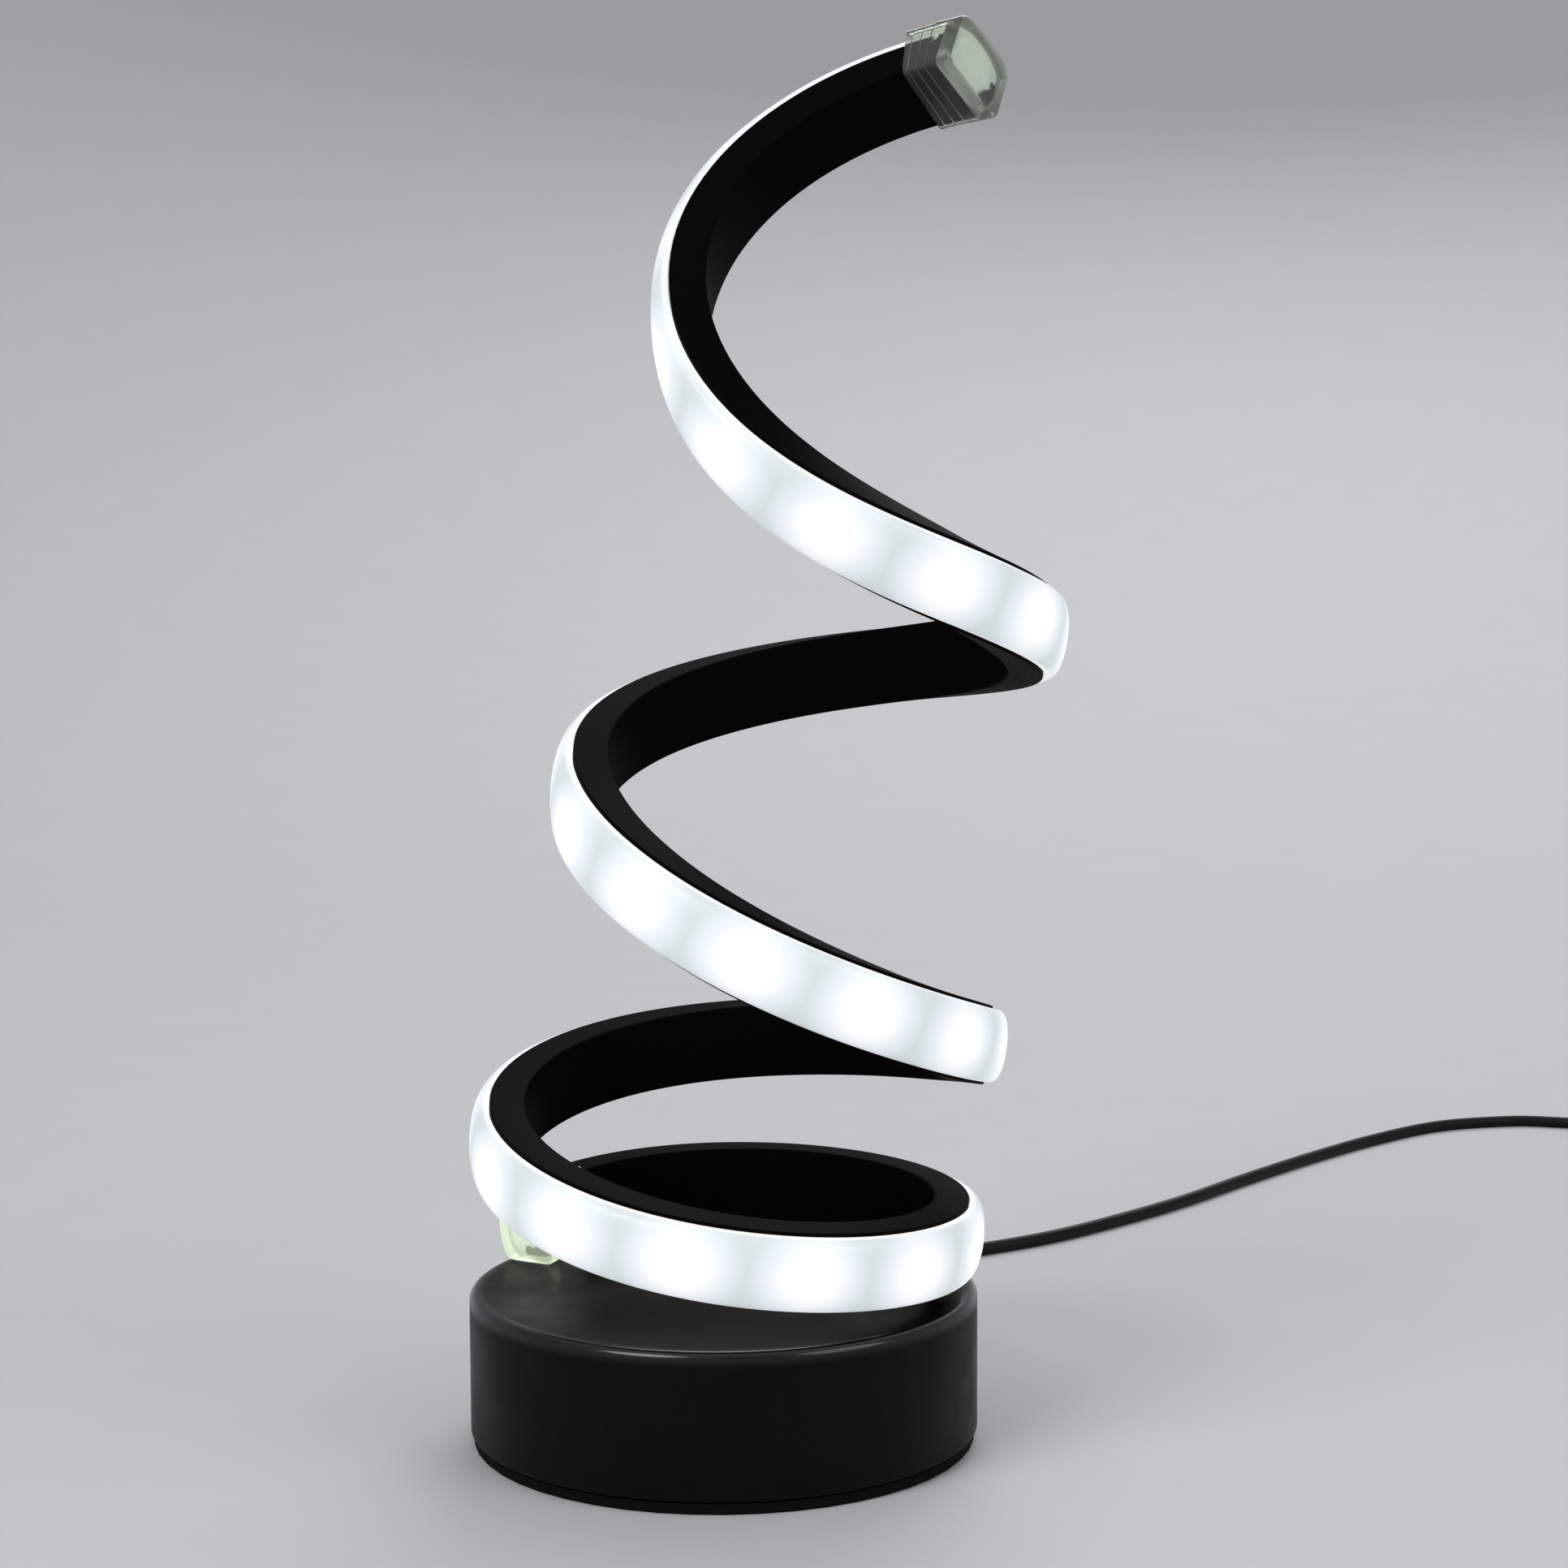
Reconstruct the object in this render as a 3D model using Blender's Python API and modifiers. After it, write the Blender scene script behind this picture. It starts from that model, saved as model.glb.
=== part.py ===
"""Spiral table lamp: a black channel wound into a rising spiral stands on a weighted round base.

Lengths are in metres, +Z is up, and the origin is the centre of the underside of the foot.
The front of the lamp faces -Y. A left-handed spiral rises clockwise, seen from above.
"""

import functools
import math

import bmesh
import bpy
import numpy as np
from mathutils import Matrix, Vector

MM = 0.001
GAP = 0.3 * MM  # left between pieces that touch
OVERRUN = 2.0 * MM  # how far a cutter runs past what it cuts
MERGE = 0.01 * MM
EDGE_SHARE = 0.25  # of a thin piece's height, taken off its edge
SMOOTH_ANGLE = math.radians(35)  # flatter edges than this are shaded smooth
BEVEL_ANGLE = math.radians(40)  # sharper edges than this are bevelled
BEVEL_SEGMENTS = 2
SMALL_SIDES = 12  # faces round the smallest turned pieces

# The base drum
BASE_RADIUS = 55.0 * MM
BASE_TOP = 33.5 * MM
FOOT_THICKNESS = 2.4 * MM
FOOT_INSET = 0.7 * MM
COVER_WALL = 1.2 * MM
COVER_TOP_ROUND = 1.8 * MM
COVER_LOWER_ROUND = 1.0 * MM
COVER_ROUND_STEPS = 4
PLATE_THICKNESS = 1.5 * MM
WEIGHT_MARGIN = 3.8 * MM  # between the weight and the cover's wall
WEIGHT_CLEARANCE = 0.9 * MM  # under the lead's stop ring
BASE_SEGMENTS = 48

# The three screws that hold plate, weight and cover together
PILLAR_COUNT = 3
PILLAR_INSET = 21.0 * MM  # from the base's side to each pillar's axis
PILLAR_RADIUS = 3.5 * MM
PILLAR_FIRST_ANGLE = math.radians(-90)
BASE_SCREW_RADIUS = 1.45 * MM
BASE_SCREW_GRIP = 6.0 * MM  # length of screw inside the pillar
SCREW_HEAD_RADIUS = 2.8 * MM
SCREW_HEAD_HEIGHT = 1.6 * MM
SCREW_SIDES = 16

# The spiral strip, measured to the outer edge of the channel's walls
SPIRAL_TURNS = 3.25
SPIRAL_START_ANGLE = math.radians(150)
SPIRAL_INSET = 3.0 * MM  # from the base's side to the lower turns' outer edge
SPIRAL_RISE = 233.9 * MM
LEAN_RIGHT = 34.0 * MM
LEAN_FORWARD = 48.5 * MM
STATIONS_PER_TURN = 24
FINE_STEPS = 1200  # for lengths and directions along the smooth curve

# Shares of the rise, the radius and the leans at evenly spaced places up the spiral
RISE_SHARES = (0, 0.057, 0.041, 0.150, 0.240, 0.338, 0.539, 0.628, 0.865, 1)
RADIUS_SHARES = (0.981, 0.988, 1.013, 1.029, 0.994, 0.936, 0.873, 0.829, 0.795, 0.783)
LEAN_RIGHT_SHARES = (0, 0.21, 1, 0.90)
LEAN_FORWARD_SHARES = (0.05, 0.09, 0.02, 1)
TWIST_DEGREES = (-4.9, 5.0, -10.7, 3.7, 5.2, -15.2, -0.9, 8.5, -11.8, 28.0)

# The channel's section: depth runs outwards from the spiral's axis, width up the strip
STRIP_WIDTH = 16.8 * MM
CHANNEL_DEPTH = 7.8 * MM
CHANNEL_WALL = 1.2 * MM
CHANNEL_CORNER = 0.5 * MM
SNAP_LIP = 0.5 * MM
SNAP_LIP_DEPTH = 1.2 * MM

# The opal cover that snaps into the channel's mouth
DIFFUSER_BULGE = 3.7 * MM
DIFFUSER_WALL = 1.3 * MM
DIFFUSER_LEG = 1.0 * MM
DIFFUSER_HOOK = 0.9 * MM
DIFFUSER_ARC_STEPS = 6
DIFFUSER_SQUARENESS = 0.6  # below 1 the bulge is squarer than a half ellipse

# The lit tape on the channel's back wall
TAPE_WIDTH = 10.0 * MM
TAPE_THICKNESS = 0.3 * MM
TAPE_BED = 0.5 * MM  # between the tape and the channel's back wall
LED_SIZE = 5.0 * MM
LED_HEIGHT = 1.5 * MM
LED_SOLDER_DEPTH = 0.15 * MM  # how far each piece sinks into the tape's face
LED_PITCH = 22.5 * MM
LED_FIRST = 21.0 * MM  # along the tape from its lower end
RESISTOR_LENGTH = 3.0 * MM
RESISTOR_WIDTH = 1.6 * MM
RESISTOR_HEIGHT = 0.6 * MM
LEDS_PER_RESISTOR = 3

# The clear end caps, pushed over both ends of the strip
CAP_WALL = 0.9 * MM
CAP_OVERLAP = 11.0 * MM
CAP_END_WALL = 4.0 * MM
CAP_EDGE = 0.6 * MM
CAP_DIMPLE_RADIUS = 1.2 * MM
CAP_DIMPLE_DEPTH = 0.4 * MM

# What fixes the strip to the base and feeds it
STRIP_SCREW_RADIUS = 1.2 * MM
STRIP_SCREW_REACH = 1.2 * MM  # past the inside of the channel's lower wall
STRIP_SCREW_DISTANCES = (45.0 * MM, 95.0 * MM, 145.0 * MM)  # along the strip
SCREW_SETBACK = 4.4 * MM  # from the channel's mouth to the line of screws
SPACER_RADIUS = 2.6 * MM
WIRE_HOLE_DISTANCE = 15.5 * MM
WIRE_HOLE_RADIUS = 2.0 * MM
WIRE_RADIUS = 0.55 * MM
WIRE_SPREAD = 0.85 * MM  # from the hole's centre to each wire
GROMMET_FLANGE = 1.2 * MM
GROMMET_THICKNESS = 0.8 * MM
GROMMET_WALL = 0.7 * MM

# The lead and its outlet at the back of the base
CORD_DIAMETER = 3.5 * MM
CORD_OUTLET_HEIGHT = 17.0 * MM
CORD_INNER_REACH = 15.8 * MM  # of the jacket inside the wall
BUSHING_NECK_RADIUS = 3.2 * MM
BUSHING_FLANGE_RADIUS = 5.0 * MM
BUSHING_FLANGE_THICKNESS = 1.5 * MM
BUSHING_TAIL_LENGTH = 20.0 * MM
BUSHING_TAIL_START_RADIUS = 3.8 * MM
BUSHING_TAIL_END_RADIUS = 2.7 * MM
BUSHING_GROOVE_COUNT = 3
BUSHING_GROOVE_DEPTH = 0.5 * MM
BUSHING_GROOVE_WIDTH = 1.6 * MM
STOP_RING_RADIUS = 3.6 * MM
STOP_RING_LENGTH = 3.0 * MM
CORE_RADIUS = 0.55 * MM
CORE_SPREAD = 2.0 * MM
CORE_LENGTH = 8.0 * MM
SLEEVE_RADIUS = 1.1 * MM
SLEEVE_LENGTH = 12.0 * MM

# The switch in the lead
SWITCH_CENTRE = (310.5 * MM, 276.0 * MM)
SWITCH_HEADING = math.radians(-65)
SWITCH_LENGTH = 50.0 * MM
SWITCH_WIDTH = 17.0 * MM
SWITCH_END_WIDTH = 9.0 * MM
SWITCH_LOWER_HEIGHT = 5.2 * MM
SWITCH_UPPER_HEIGHT = 7.0 * MM
SWITCH_SHOULDER = 9.0 * MM  # length of each tapered end
SWITCH_WALL = 1.6 * MM
SWITCH_EDGE = 1.0 * MM
ROCKER_LENGTH = 15.0 * MM
ROCKER_WIDTH = 9.0 * MM
ROCKER_TILT = math.radians(9)  # either way from level
ROCKER_RISE = 0.4 * MM  # of the rocker's middle above the housing
ROCKER_PIVOT_DEPTH = 2.6 * MM  # below the top of the housing
ROCKER_DEPTH = 2.0 * MM  # of the rocker's body below its pivot
ROCKER_FOOT_SHARE = 0.67  # of its length, at its lower side
PIVOT_RADIUS = 0.8 * MM
CONTACT_LENGTH = 5.0 * MM
CONTACT_WIDTH = 3.0 * MM
CONTACT_THICKNESS = 0.8 * MM
SWITCH_SCREW_RADIUS = 0.9 * MM
SWITCH_SCREW_HEAD_RADIUS = 1.8 * MM
SWITCH_SCREW_HEAD_HEIGHT = 1.2 * MM
SWITCH_SCREW_INSET = 3.4 * MM  # from the end of the housing's wide part
SWITCH_SCREW_SIDE = 5.2 * MM

# The put-away coil: two layers of loops, wound clockwise
COIL_CENTRE = (295.0 * MM, 205.0 * MM)
COIL_TURNS = 7
COIL_MID_DIAMETER = 42.0 * MM
COIL_STEP = 4.0 * MM  # between neighbouring turns and between layers
COIL_POINTS_PER_TURN = 24
CORD_RESOLUTION = 2
COIL_RESOLUTION = 1
ROUTE_STEPS = 16  # between two given points of a route
TIE_WIDTH = 5.0 * MM
TIE_THICKNESS = 0.6 * MM

# The plug
PLUG_CENTRE_Y = 146.0 * MM
PLUG_BODY_LENGTH = 24.0 * MM
PLUG_BODY_WIDTH = 15.6 * MM
PLUG_BODY_HEIGHT = 7.6 * MM
PLUG_EDGE = 1.2 * MM
PLUG_TAIL_LENGTH = 9.0 * MM
PLUG_TAIL_RADIUS = 2.9 * MM
PLUG_TAIL_END_RADIUS = 2.5 * MM
PLUG_SHELL_LENGTH = 12.0 * MM
PLUG_SHELL_ROOT = 4.0 * MM  # length of shell inside the grip
PLUG_SHELL_WIDTH = 12.0 * MM
PLUG_SHELL_HEIGHT = 4.5 * MM
PLUG_SHELL_WALL = 0.4 * MM
PLUG_TONGUE_THICKNESS = 1.4 * MM
PLUG_CONTACT_COUNT = 4
PLUG_CONTACT_PITCH = 2.3 * MM
PLUG_CONTACT_WIDTH = 1.0 * MM
PLUG_CONTACT_THICKNESS = 0.25 * MM
PLUG_CONTACT_LENGTH = 7.0 * MM

# The lead's route on the floor, from where it lands behind the base to the switch
FLOOR_ROUTE = (
    (7.0 * MM, 116.0 * MM),
    (22.0 * MM, 132.0 * MM),
    (48.0 * MM, 146.0 * MM),
    (71.0 * MM, 158.5 * MM),
    (90.0 * MM, 171.0 * MM),
    (110.0 * MM, 189.0 * MM),
    (132.0 * MM, 212.0 * MM),
    (155.0 * MM, 240.0 * MM),
    (180.0 * MM, 269.0 * MM),
    (206.0 * MM, 296.0 * MM),
    (231.0 * MM, 316.0 * MM),
    (255.0 * MM, 323.0 * MM),
    (268.0 * MM, 321.5 * MM),
    (283.0 * MM, 315.0 * MM),
)

# How it comes down: to the right, beyond the bushing's end, and the share of the drop still left
LANDING_STEPS = ((1.0 * MM, 17.5 * MM, 0.71), (3.4 * MM, 29.8 * MM, 0.21))

# Places worked out from the sizes above
CORD_RADIUS = CORD_DIAMETER / 2
SWITCH_RUN = CORD_DIAMETER  # straight, at both ends of the switch
SWITCH_DROP = 4 * CORD_DIAMETER  # from the switch to where the lead is down
COIL_APPROACH = 3 * CORD_DIAMETER
PLUG_APPROACH = 3 * CORD_DIAMETER
ROUTE_SPACING = 2.4 * CORD_DIAMETER  # between the points of a route
CORE_START = 1.5 * CORE_RADIUS  # from the jacket's middle to each core
CORE_SPACING = 4 * CORE_RADIUS
WIRE_SPACING = 6 * WIRE_RADIUS
COVER_BOTTOM = FOOT_THICKNESS + GAP
PLATE_BOTTOM = COVER_BOTTOM
PLATE_TOP = PLATE_BOTTOM + PLATE_THICKNESS
WEIGHT_BOTTOM = PLATE_TOP + GAP
WEIGHT_TOP = CORD_OUTLET_HEIGHT - STOP_RING_RADIUS - WEIGHT_CLEARANCE
PILLAR_BOTTOM = WEIGHT_TOP + GAP
COVER_CEILING = BASE_TOP - COVER_WALL
COVER_INNER_RADIUS = BASE_RADIUS - COVER_WALL
WEIGHT_RADIUS = COVER_INNER_RADIUS - WEIGHT_MARGIN
CORD_INNER_END = COVER_INNER_RADIUS - CORD_INNER_REACH  # from the base's axis
PILLAR_CIRCLE_RADIUS = BASE_RADIUS - PILLAR_INSET
SPIRAL_RADIUS = BASE_RADIUS - SPIRAL_INSET
TAPE_BACK = -CHANNEL_DEPTH + CHANNEL_WALL + TAPE_BED
TAPE_FACE = TAPE_BACK + TAPE_THICKNESS
SWITCH_HEIGHT = SWITCH_LOWER_HEIGHT + GAP + SWITCH_UPPER_HEIGHT
SWITCH_CORD_HEIGHT = SWITCH_LOWER_HEIGHT + GAP / 2
PIVOT_HEIGHT = SWITCH_HEIGHT - ROCKER_PIVOT_DEPTH
PLUG_HEIGHT = PLUG_BODY_HEIGHT / 2
COIL_LIFT = TIE_THICKNESS + GAP
COIL_LAYER_TURNS = COIL_TURNS / 2
COIL_OUTER = COIL_MID_DIAMETER / 2 + COIL_LAYER_TURNS * COIL_STEP / 2
BUSHING_END = BASE_RADIUS + GAP + BUSHING_FLANGE_THICKNESS + BUSHING_TAIL_LENGTH


# Collections, materials and meshes


def clear_scene():
    for item in list(bpy.data.objects):
        bpy.data.objects.remove(item, do_unlink=True)


def new_collection(name):
    collection = bpy.data.collections.new(name)
    bpy.context.scene.collection.children.link(collection)
    return collection


def material(name, colour, roughness, metallic=0.0, alpha=1.0):
    finish = bpy.data.materials.new(name)
    finish.use_nodes = True
    shader = finish.node_tree.nodes["Principled BSDF"]
    shader.inputs["Base Color"].default_value = (*colour, 1.0)
    shader.inputs["Roughness"].default_value = roughness
    shader.inputs["Metallic"].default_value = metallic
    shader.inputs["Alpha"].default_value = alpha
    return finish


def link(name, data, collection, finish=None):
    item = bpy.data.objects.new(name, data)
    collection.objects.link(item)
    if finish is not None:
        data.materials.append(finish)
    return item


def mesh_from(name, bm):
    mesh = bpy.data.meshes.new(name)
    bmesh.ops.recalc_face_normals(bm, faces=bm.faces)
    bm.to_mesh(mesh)
    bm.free()
    return mesh


def smooth(item):
    item.data.shade_smooth()
    item.data.set_sharp_from_angle(angle=SMOOTH_ANGLE)


def settle(item, collection, finish=None):
    """Replace an object by the closed mesh that its modifiers or its curve make."""
    bpy.context.view_layer.update()
    evaluated = item.evaluated_get(bpy.context.evaluated_depsgraph_get())
    mesh = bpy.data.meshes.new_from_object(evaluated)
    place = item.matrix_world.copy()
    name = item.name
    bpy.data.objects.remove(item, do_unlink=True)
    bm = bmesh.new()
    bm.from_mesh(mesh)
    bmesh.ops.remove_doubles(bm, verts=bm.verts, dist=MERGE)
    bmesh.ops.recalc_face_normals(bm, faces=bm.faces)
    bm.to_mesh(mesh)
    bm.free()
    mesh.materials.clear()
    result = link(name, mesh, collection, finish)
    result.matrix_world = place
    return result


def turned(name, profile, collection, finish=None, segments=SCREW_SIDES):
    """Turn a profile of (radius, height) pairs about Z; it runs down the outside and up the inside."""
    mesh = bpy.data.meshes.new(name)
    points = [(radius, 0, height) for radius, height in profile]
    edges = [(i, i + 1) for i in range(len(points) - 1)]
    if profile[0][0] > 0:
        edges.append((len(points) - 1, 0))
    mesh.from_pydata(points, edges, [])
    item = link(name, mesh, collection, finish)
    screw = item.modifiers.new("turn", "SCREW")
    screw.axis = "Z"
    screw.steps = segments
    screw.render_steps = segments
    screw.use_merge_vertices = True
    screw.merge_threshold = MERGE
    screw.use_smooth_shade = True
    return item


def rod_points(radius, low, high):
    return [(0, high), (radius, high), (radius, low), (0, low)]


def block(name, size, centre, collection, finish=None):
    bm = bmesh.new()
    bmesh.ops.create_cube(bm, size=1)
    bmesh.ops.scale(bm, vec=Vector(size), verts=bm.verts)
    bmesh.ops.translate(bm, vec=Vector(centre), verts=bm.verts)
    return link(name, mesh_from(name, bm), collection, finish)


def cylinder_cutter(name, radius, start, end, cutters, sides=SCREW_SIDES):
    axis = Vector(end) - Vector(start)
    bm = bmesh.new()
    bmesh.ops.create_cone(
        bm, cap_ends=True, segments=sides, radius1=radius, radius2=radius, depth=axis.length
    )
    turn = Vector((0, 0, 1)).rotation_difference(axis).to_matrix().to_4x4()
    middle = Matrix.Translation((Vector(start) + Vector(end)) / 2)
    bmesh.ops.transform(bm, matrix=middle @ turn, verts=bm.verts)
    return hide_cutter(link(name, mesh_from(name, bm), cutters))


def hide_cutter(item):
    item.hide_render = True
    item.display_type = "WIRE"
    return item


def cut(item, cutter, operation="DIFFERENCE"):
    change = item.modifiers.new(cutter.name, "BOOLEAN")
    change.operation = operation
    change.object = cutter
    change.solver = "EXACT"


def bevel(item, width):
    edge = item.modifiers.new("edge", "BEVEL")
    edge.width = width
    edge.segments = BEVEL_SEGMENTS
    edge.limit_method = "ANGLE"
    edge.angle_limit = BEVEL_ANGLE


def move_together(frame, items, cutters, prefixes):
    """Carry pieces that were drawn at the origin, and their cutters, to where they belong."""
    bpy.context.view_layer.update()
    for item in items + [item for item in cutters.objects if item.name.startswith(prefixes)]:
        item.matrix_world = frame @ item.matrix_world


def copies(name, pattern, places, collection, finish):
    """Place copies of one settled piece, which share its mesh."""
    pattern.data.materials.append(finish)
    smooth(pattern)
    for k, place in enumerate(places):
        item = link(f"{name}_{k + 1}", pattern.data, collection)
        item.matrix_world = place
    bpy.data.objects.remove(pattern, do_unlink=True)


def joined(name, pattern, places, collection):
    """Gather copies of one block in one mesh, for a single Boolean."""
    bm = bmesh.new()
    for place in places:
        first = len(bm.verts)
        bm.from_mesh(pattern.data)
        bm.verts.ensure_lookup_table()
        bmesh.ops.transform(bm, matrix=place, verts=bm.verts[first:])
    bpy.data.objects.remove(pattern, do_unlink=True)
    return link(name, mesh_from(name, bm), collection)


def wire(name, points, radius, collection, finish=None, resolution=CORD_RESOLUTION):
    curve = bpy.data.curves.new(name, "CURVE")
    curve.dimensions = "3D"
    curve.bevel_depth = radius
    curve.bevel_resolution = resolution
    curve.use_fill_caps = True
    spline = curve.splines.new("POLY")
    spline.points.add(len(points) - 1)
    for target, point in zip(spline.points, points):
        target.co = (*point, 1)
    return link(name, curve, collection, finish)


# Smooth curves


def blend_weights(part):
    return (
        (1 - part) ** 3 / 6,
        (3 * part**3 - 6 * part**2 + 4) / 6,
        (-3 * part**3 + 3 * part**2 + 3 * part + 1) / 6,
        part**3 / 6,
    )


def slope_weights(part):
    return (
        -((1 - part) ** 2) / 2,
        (3 * part**2 - 4 * part) / 2,
        (-3 * part**2 + 2 * part + 1) / 2,
        part**2 / 2,
    )


def even_curve(shares, along, slope=False):
    """Read a smooth curve, from its first to its last share, at places from 0 to 1 along it."""
    values = np.array(shares, dtype=float)
    padded = np.concatenate(([2 * values[0] - values[1]], values, [2 * values[-1] - values[-2]]))
    spans = len(values) - 1
    place = np.clip(along, 0, 1) * spans
    index = np.minimum(place.astype(int), spans - 1)
    weights = slope_weights(place - index) if slope else blend_weights(place - index)
    total = sum(weight * padded[index + k] for k, weight in enumerate(weights))
    return total * spans if slope else total


def travelled(points):
    """Distance reached at each point."""
    steps = np.linalg.norm(np.diff(points, axis=0), axis=1)
    return np.concatenate(([0], np.cumsum(steps)))


def smooth_route(points, spacing):
    """Read evenly spaced points from a curve that runs smoothly through the given ones."""
    knots = np.array(points, dtype=float)
    ends = np.concatenate(([2 * knots[0] - knots[1]], knots, [2 * knots[-1] - knots[-2]]))
    dense = []
    for before, start, end, after in zip(ends[:-3], ends[1:-2], ends[2:-1], ends[3:]):
        for part in np.linspace(0, 1, ROUTE_STEPS, endpoint=False):
            dense.append(
                start
                + (end - before) * part / 2
                + (before - 2.5 * start + 2 * end - after / 2) * part**2
                + (1.5 * (start - end) + (after - before) / 2) * part**3
            )
    dense = np.array(dense + [knots[-1]])
    reached = travelled(dense)
    count = max(2, round(reached[-1] / spacing) + 1)
    wanted = np.linspace(0, reached[-1], count)
    return np.stack([np.interp(wanted, reached, dense[:, k]) for k in range(3)], axis=1)


def lead_route(points):
    """A smooth route that never dips into the surface that the lead lies on."""
    route = smooth_route(points, ROUTE_SPACING)
    route[:, 2] = np.maximum(route[:, 2], CORD_RADIUS)
    return route


# The spiral


def unit(vectors):
    return vectors / np.linalg.norm(vectors, axis=1)[:, None]


def spiral_points(along):
    """Points on the outer edge of the strip's middle line, and directions out from the axis."""
    risen = np.clip(even_curve(RISE_SHARES, along), 0, 1)
    angle = SPIRAL_START_ANGLE - math.tau * SPIRAL_TURNS * along
    radius = SPIRAL_RADIUS * even_curve(RADIUS_SHARES, along)
    right = LEAN_RIGHT * even_curve(LEAN_RIGHT_SHARES, risen)
    forward = LEAN_FORWARD * even_curve(LEAN_FORWARD_SHARES, risen)
    right_slope = LEAN_RIGHT * even_curve(LEAN_RIGHT_SHARES, risen, slope=True) / SPIRAL_RISE
    forward_slope = LEAN_FORWARD * even_curve(LEAN_FORWARD_SHARES, risen, slope=True) / SPIRAL_RISE
    axis = unit(np.stack([right_slope, -forward_slope, np.ones_like(risen)], axis=1))
    sideways = np.array((1.0, 0.0, 0.0))
    across = unit(sideways - axis * (axis @ sideways)[:, None])
    away = np.cross(axis, across)
    outward = np.cos(angle)[:, None] * across + np.sin(angle)[:, None] * away
    centre = np.stack([right, -forward, SPIRAL_RISE * risen], axis=1)
    return centre + radius[:, None] * outward, outward


def strip_frames(along):
    """Point, direction along, direction outwards and direction up the strip at each place."""
    step = 1 / FINE_STEPS
    point, outward = spiral_points(along)
    ahead = spiral_points(np.minimum(along + step, 1))[0]
    behind = spiral_points(np.maximum(along - step, 0))[0]
    forward = unit(ahead - behind)
    outward = unit(outward - forward * np.sum(outward * forward, axis=1)[:, None])
    upward = np.cross(forward, outward)
    twist = np.radians(even_curve(TWIST_DEGREES, along))[:, None]
    out = np.cos(twist) * outward + np.sin(twist) * upward
    up = np.cos(twist) * upward - np.sin(twist) * outward
    return point, forward, out, up


@functools.cache
def strip_length():
    return float(travelled(spiral_points(np.linspace(0, 1, FINE_STEPS))[0])[-1])


def strip_places():
    return np.linspace(0, 1, round(SPIRAL_TURNS * STATIONS_PER_TURN) + 1)


def section_points(along, outline):
    """The outline's (depth, width) pairs as points at one place, straight between two stations."""
    stations = strip_places()
    spans = len(stations) - 1
    index = min(max(int(along * spans), 0), spans - 1)
    part = along * spans - index
    point, _, out, up = strip_frames(stations[index : index + 2])
    pairs = np.array(outline)
    ends = [point[k] + pairs[:, :1] * out[k] + pairs[:, 1:] * up[k] for k in (0, 1)]
    return ends[0] * (1 - part) + ends[1] * part


@functools.cache
def lift():
    """How far the spiral is raised so that its lower end cap just clears the base."""
    reach = CAP_OVERLAP / strip_length()
    side = STRIP_WIDTH / 2 + GAP + CAP_WALL
    outline = [(0, -side), (-CHANNEL_DEPTH - GAP - CAP_WALL, -side)]
    corners = np.concatenate([section_points(along, outline) for along in (-reach / 2, 0, reach)])
    return BASE_TOP + GAP - float(corners[:, 2].min())


def place_section(along, outline):
    return section_points(along, outline) + np.array((0, 0, lift()))


@functools.cache
def tape_distances():
    """Distance reached along the tape's face at each station."""
    points = [place_section(along, [(TAPE_FACE, 0)])[0] for along in strip_places()]
    return travelled(np.array(points))


def along_tape(distance):
    return float(np.interp(distance, tape_distances(), strip_places()))


def sweep(name, outlines, places, collection, finish=None):
    """Loft closed outlines, one for each of the given places along the strip.

    Every face is split from its lower near corner to its upper far one, so that nested
    pieces bend alike.
    """
    bm = bmesh.new()
    rings = []
    for along, outline in sorted(zip(places, outlines), key=lambda pair: pair[0]):
        rings.append([bm.verts.new(point) for point in place_section(along, outline)])
    for ring, after in zip(rings[:-1], rings[1:]):
        for i in range(len(ring)):
            j = (i + 1) % len(ring)
            low, high = sorted((i, j), key=lambda k: outline[k][::-1])
            bm.faces.new((ring[low], ring[high], after[high]))
            bm.faces.new((ring[low], after[high], after[low]))
    bm.faces.new(rings[0])
    bm.faces.new(list(reversed(rings[-1])))
    return link(name, mesh_from(name, bm), collection, finish)


def run(name, outline, collection, finish):
    """Carry one outline along the whole strip."""
    places = strip_places()
    return sweep(name, [outline] * len(places), places, collection, finish)


def strip_matrix(along, depth, width):
    """Frame with X along the strip, Y up its width and Z out of its mouth."""
    step = MM / strip_length()
    here, out, up = place_section(along, [(depth, width), (depth + MM, width), (depth, width + MM)])
    ahead = place_section(along + step, [(depth, width)])[0]
    forward = Vector(ahead - here).normalized()
    upward = Vector(up - here)
    outward = forward.cross(upward).normalized()
    if outward.dot(Vector(out - here)) < 0:
        outward = -outward
        forward = -forward
    upward = outward.cross(forward)
    frame = Matrix((forward, upward, outward)).transposed().to_4x4()
    return Matrix.Translation(here) @ frame


# Outlines of the strip's sections, as (depth, width) pairs


def mirrored(half):
    """Complete an outline whose given half runs from the upper side to the middle."""
    return half + [(depth, -width) for depth, width in reversed(half)]


def channel_outline():
    side = STRIP_WIDTH / 2
    inner = side - CHANNEL_WALL
    mouth = -GAP
    lip = mouth - SNAP_LIP_DEPTH
    outside = [
        (mouth, side),
        (-CHANNEL_DEPTH + CHANNEL_CORNER, side),
        (-CHANNEL_DEPTH, side - CHANNEL_CORNER),
    ]
    inside = [
        (-CHANNEL_DEPTH + CHANNEL_WALL, inner),
        (lip, inner),
        (lip, inner - SNAP_LIP),
        (mouth, inner - SNAP_LIP),
    ]
    lower_inside = [(depth, -width) for depth, width in reversed(inside)]
    return mirrored(outside) + lower_inside + inside


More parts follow.
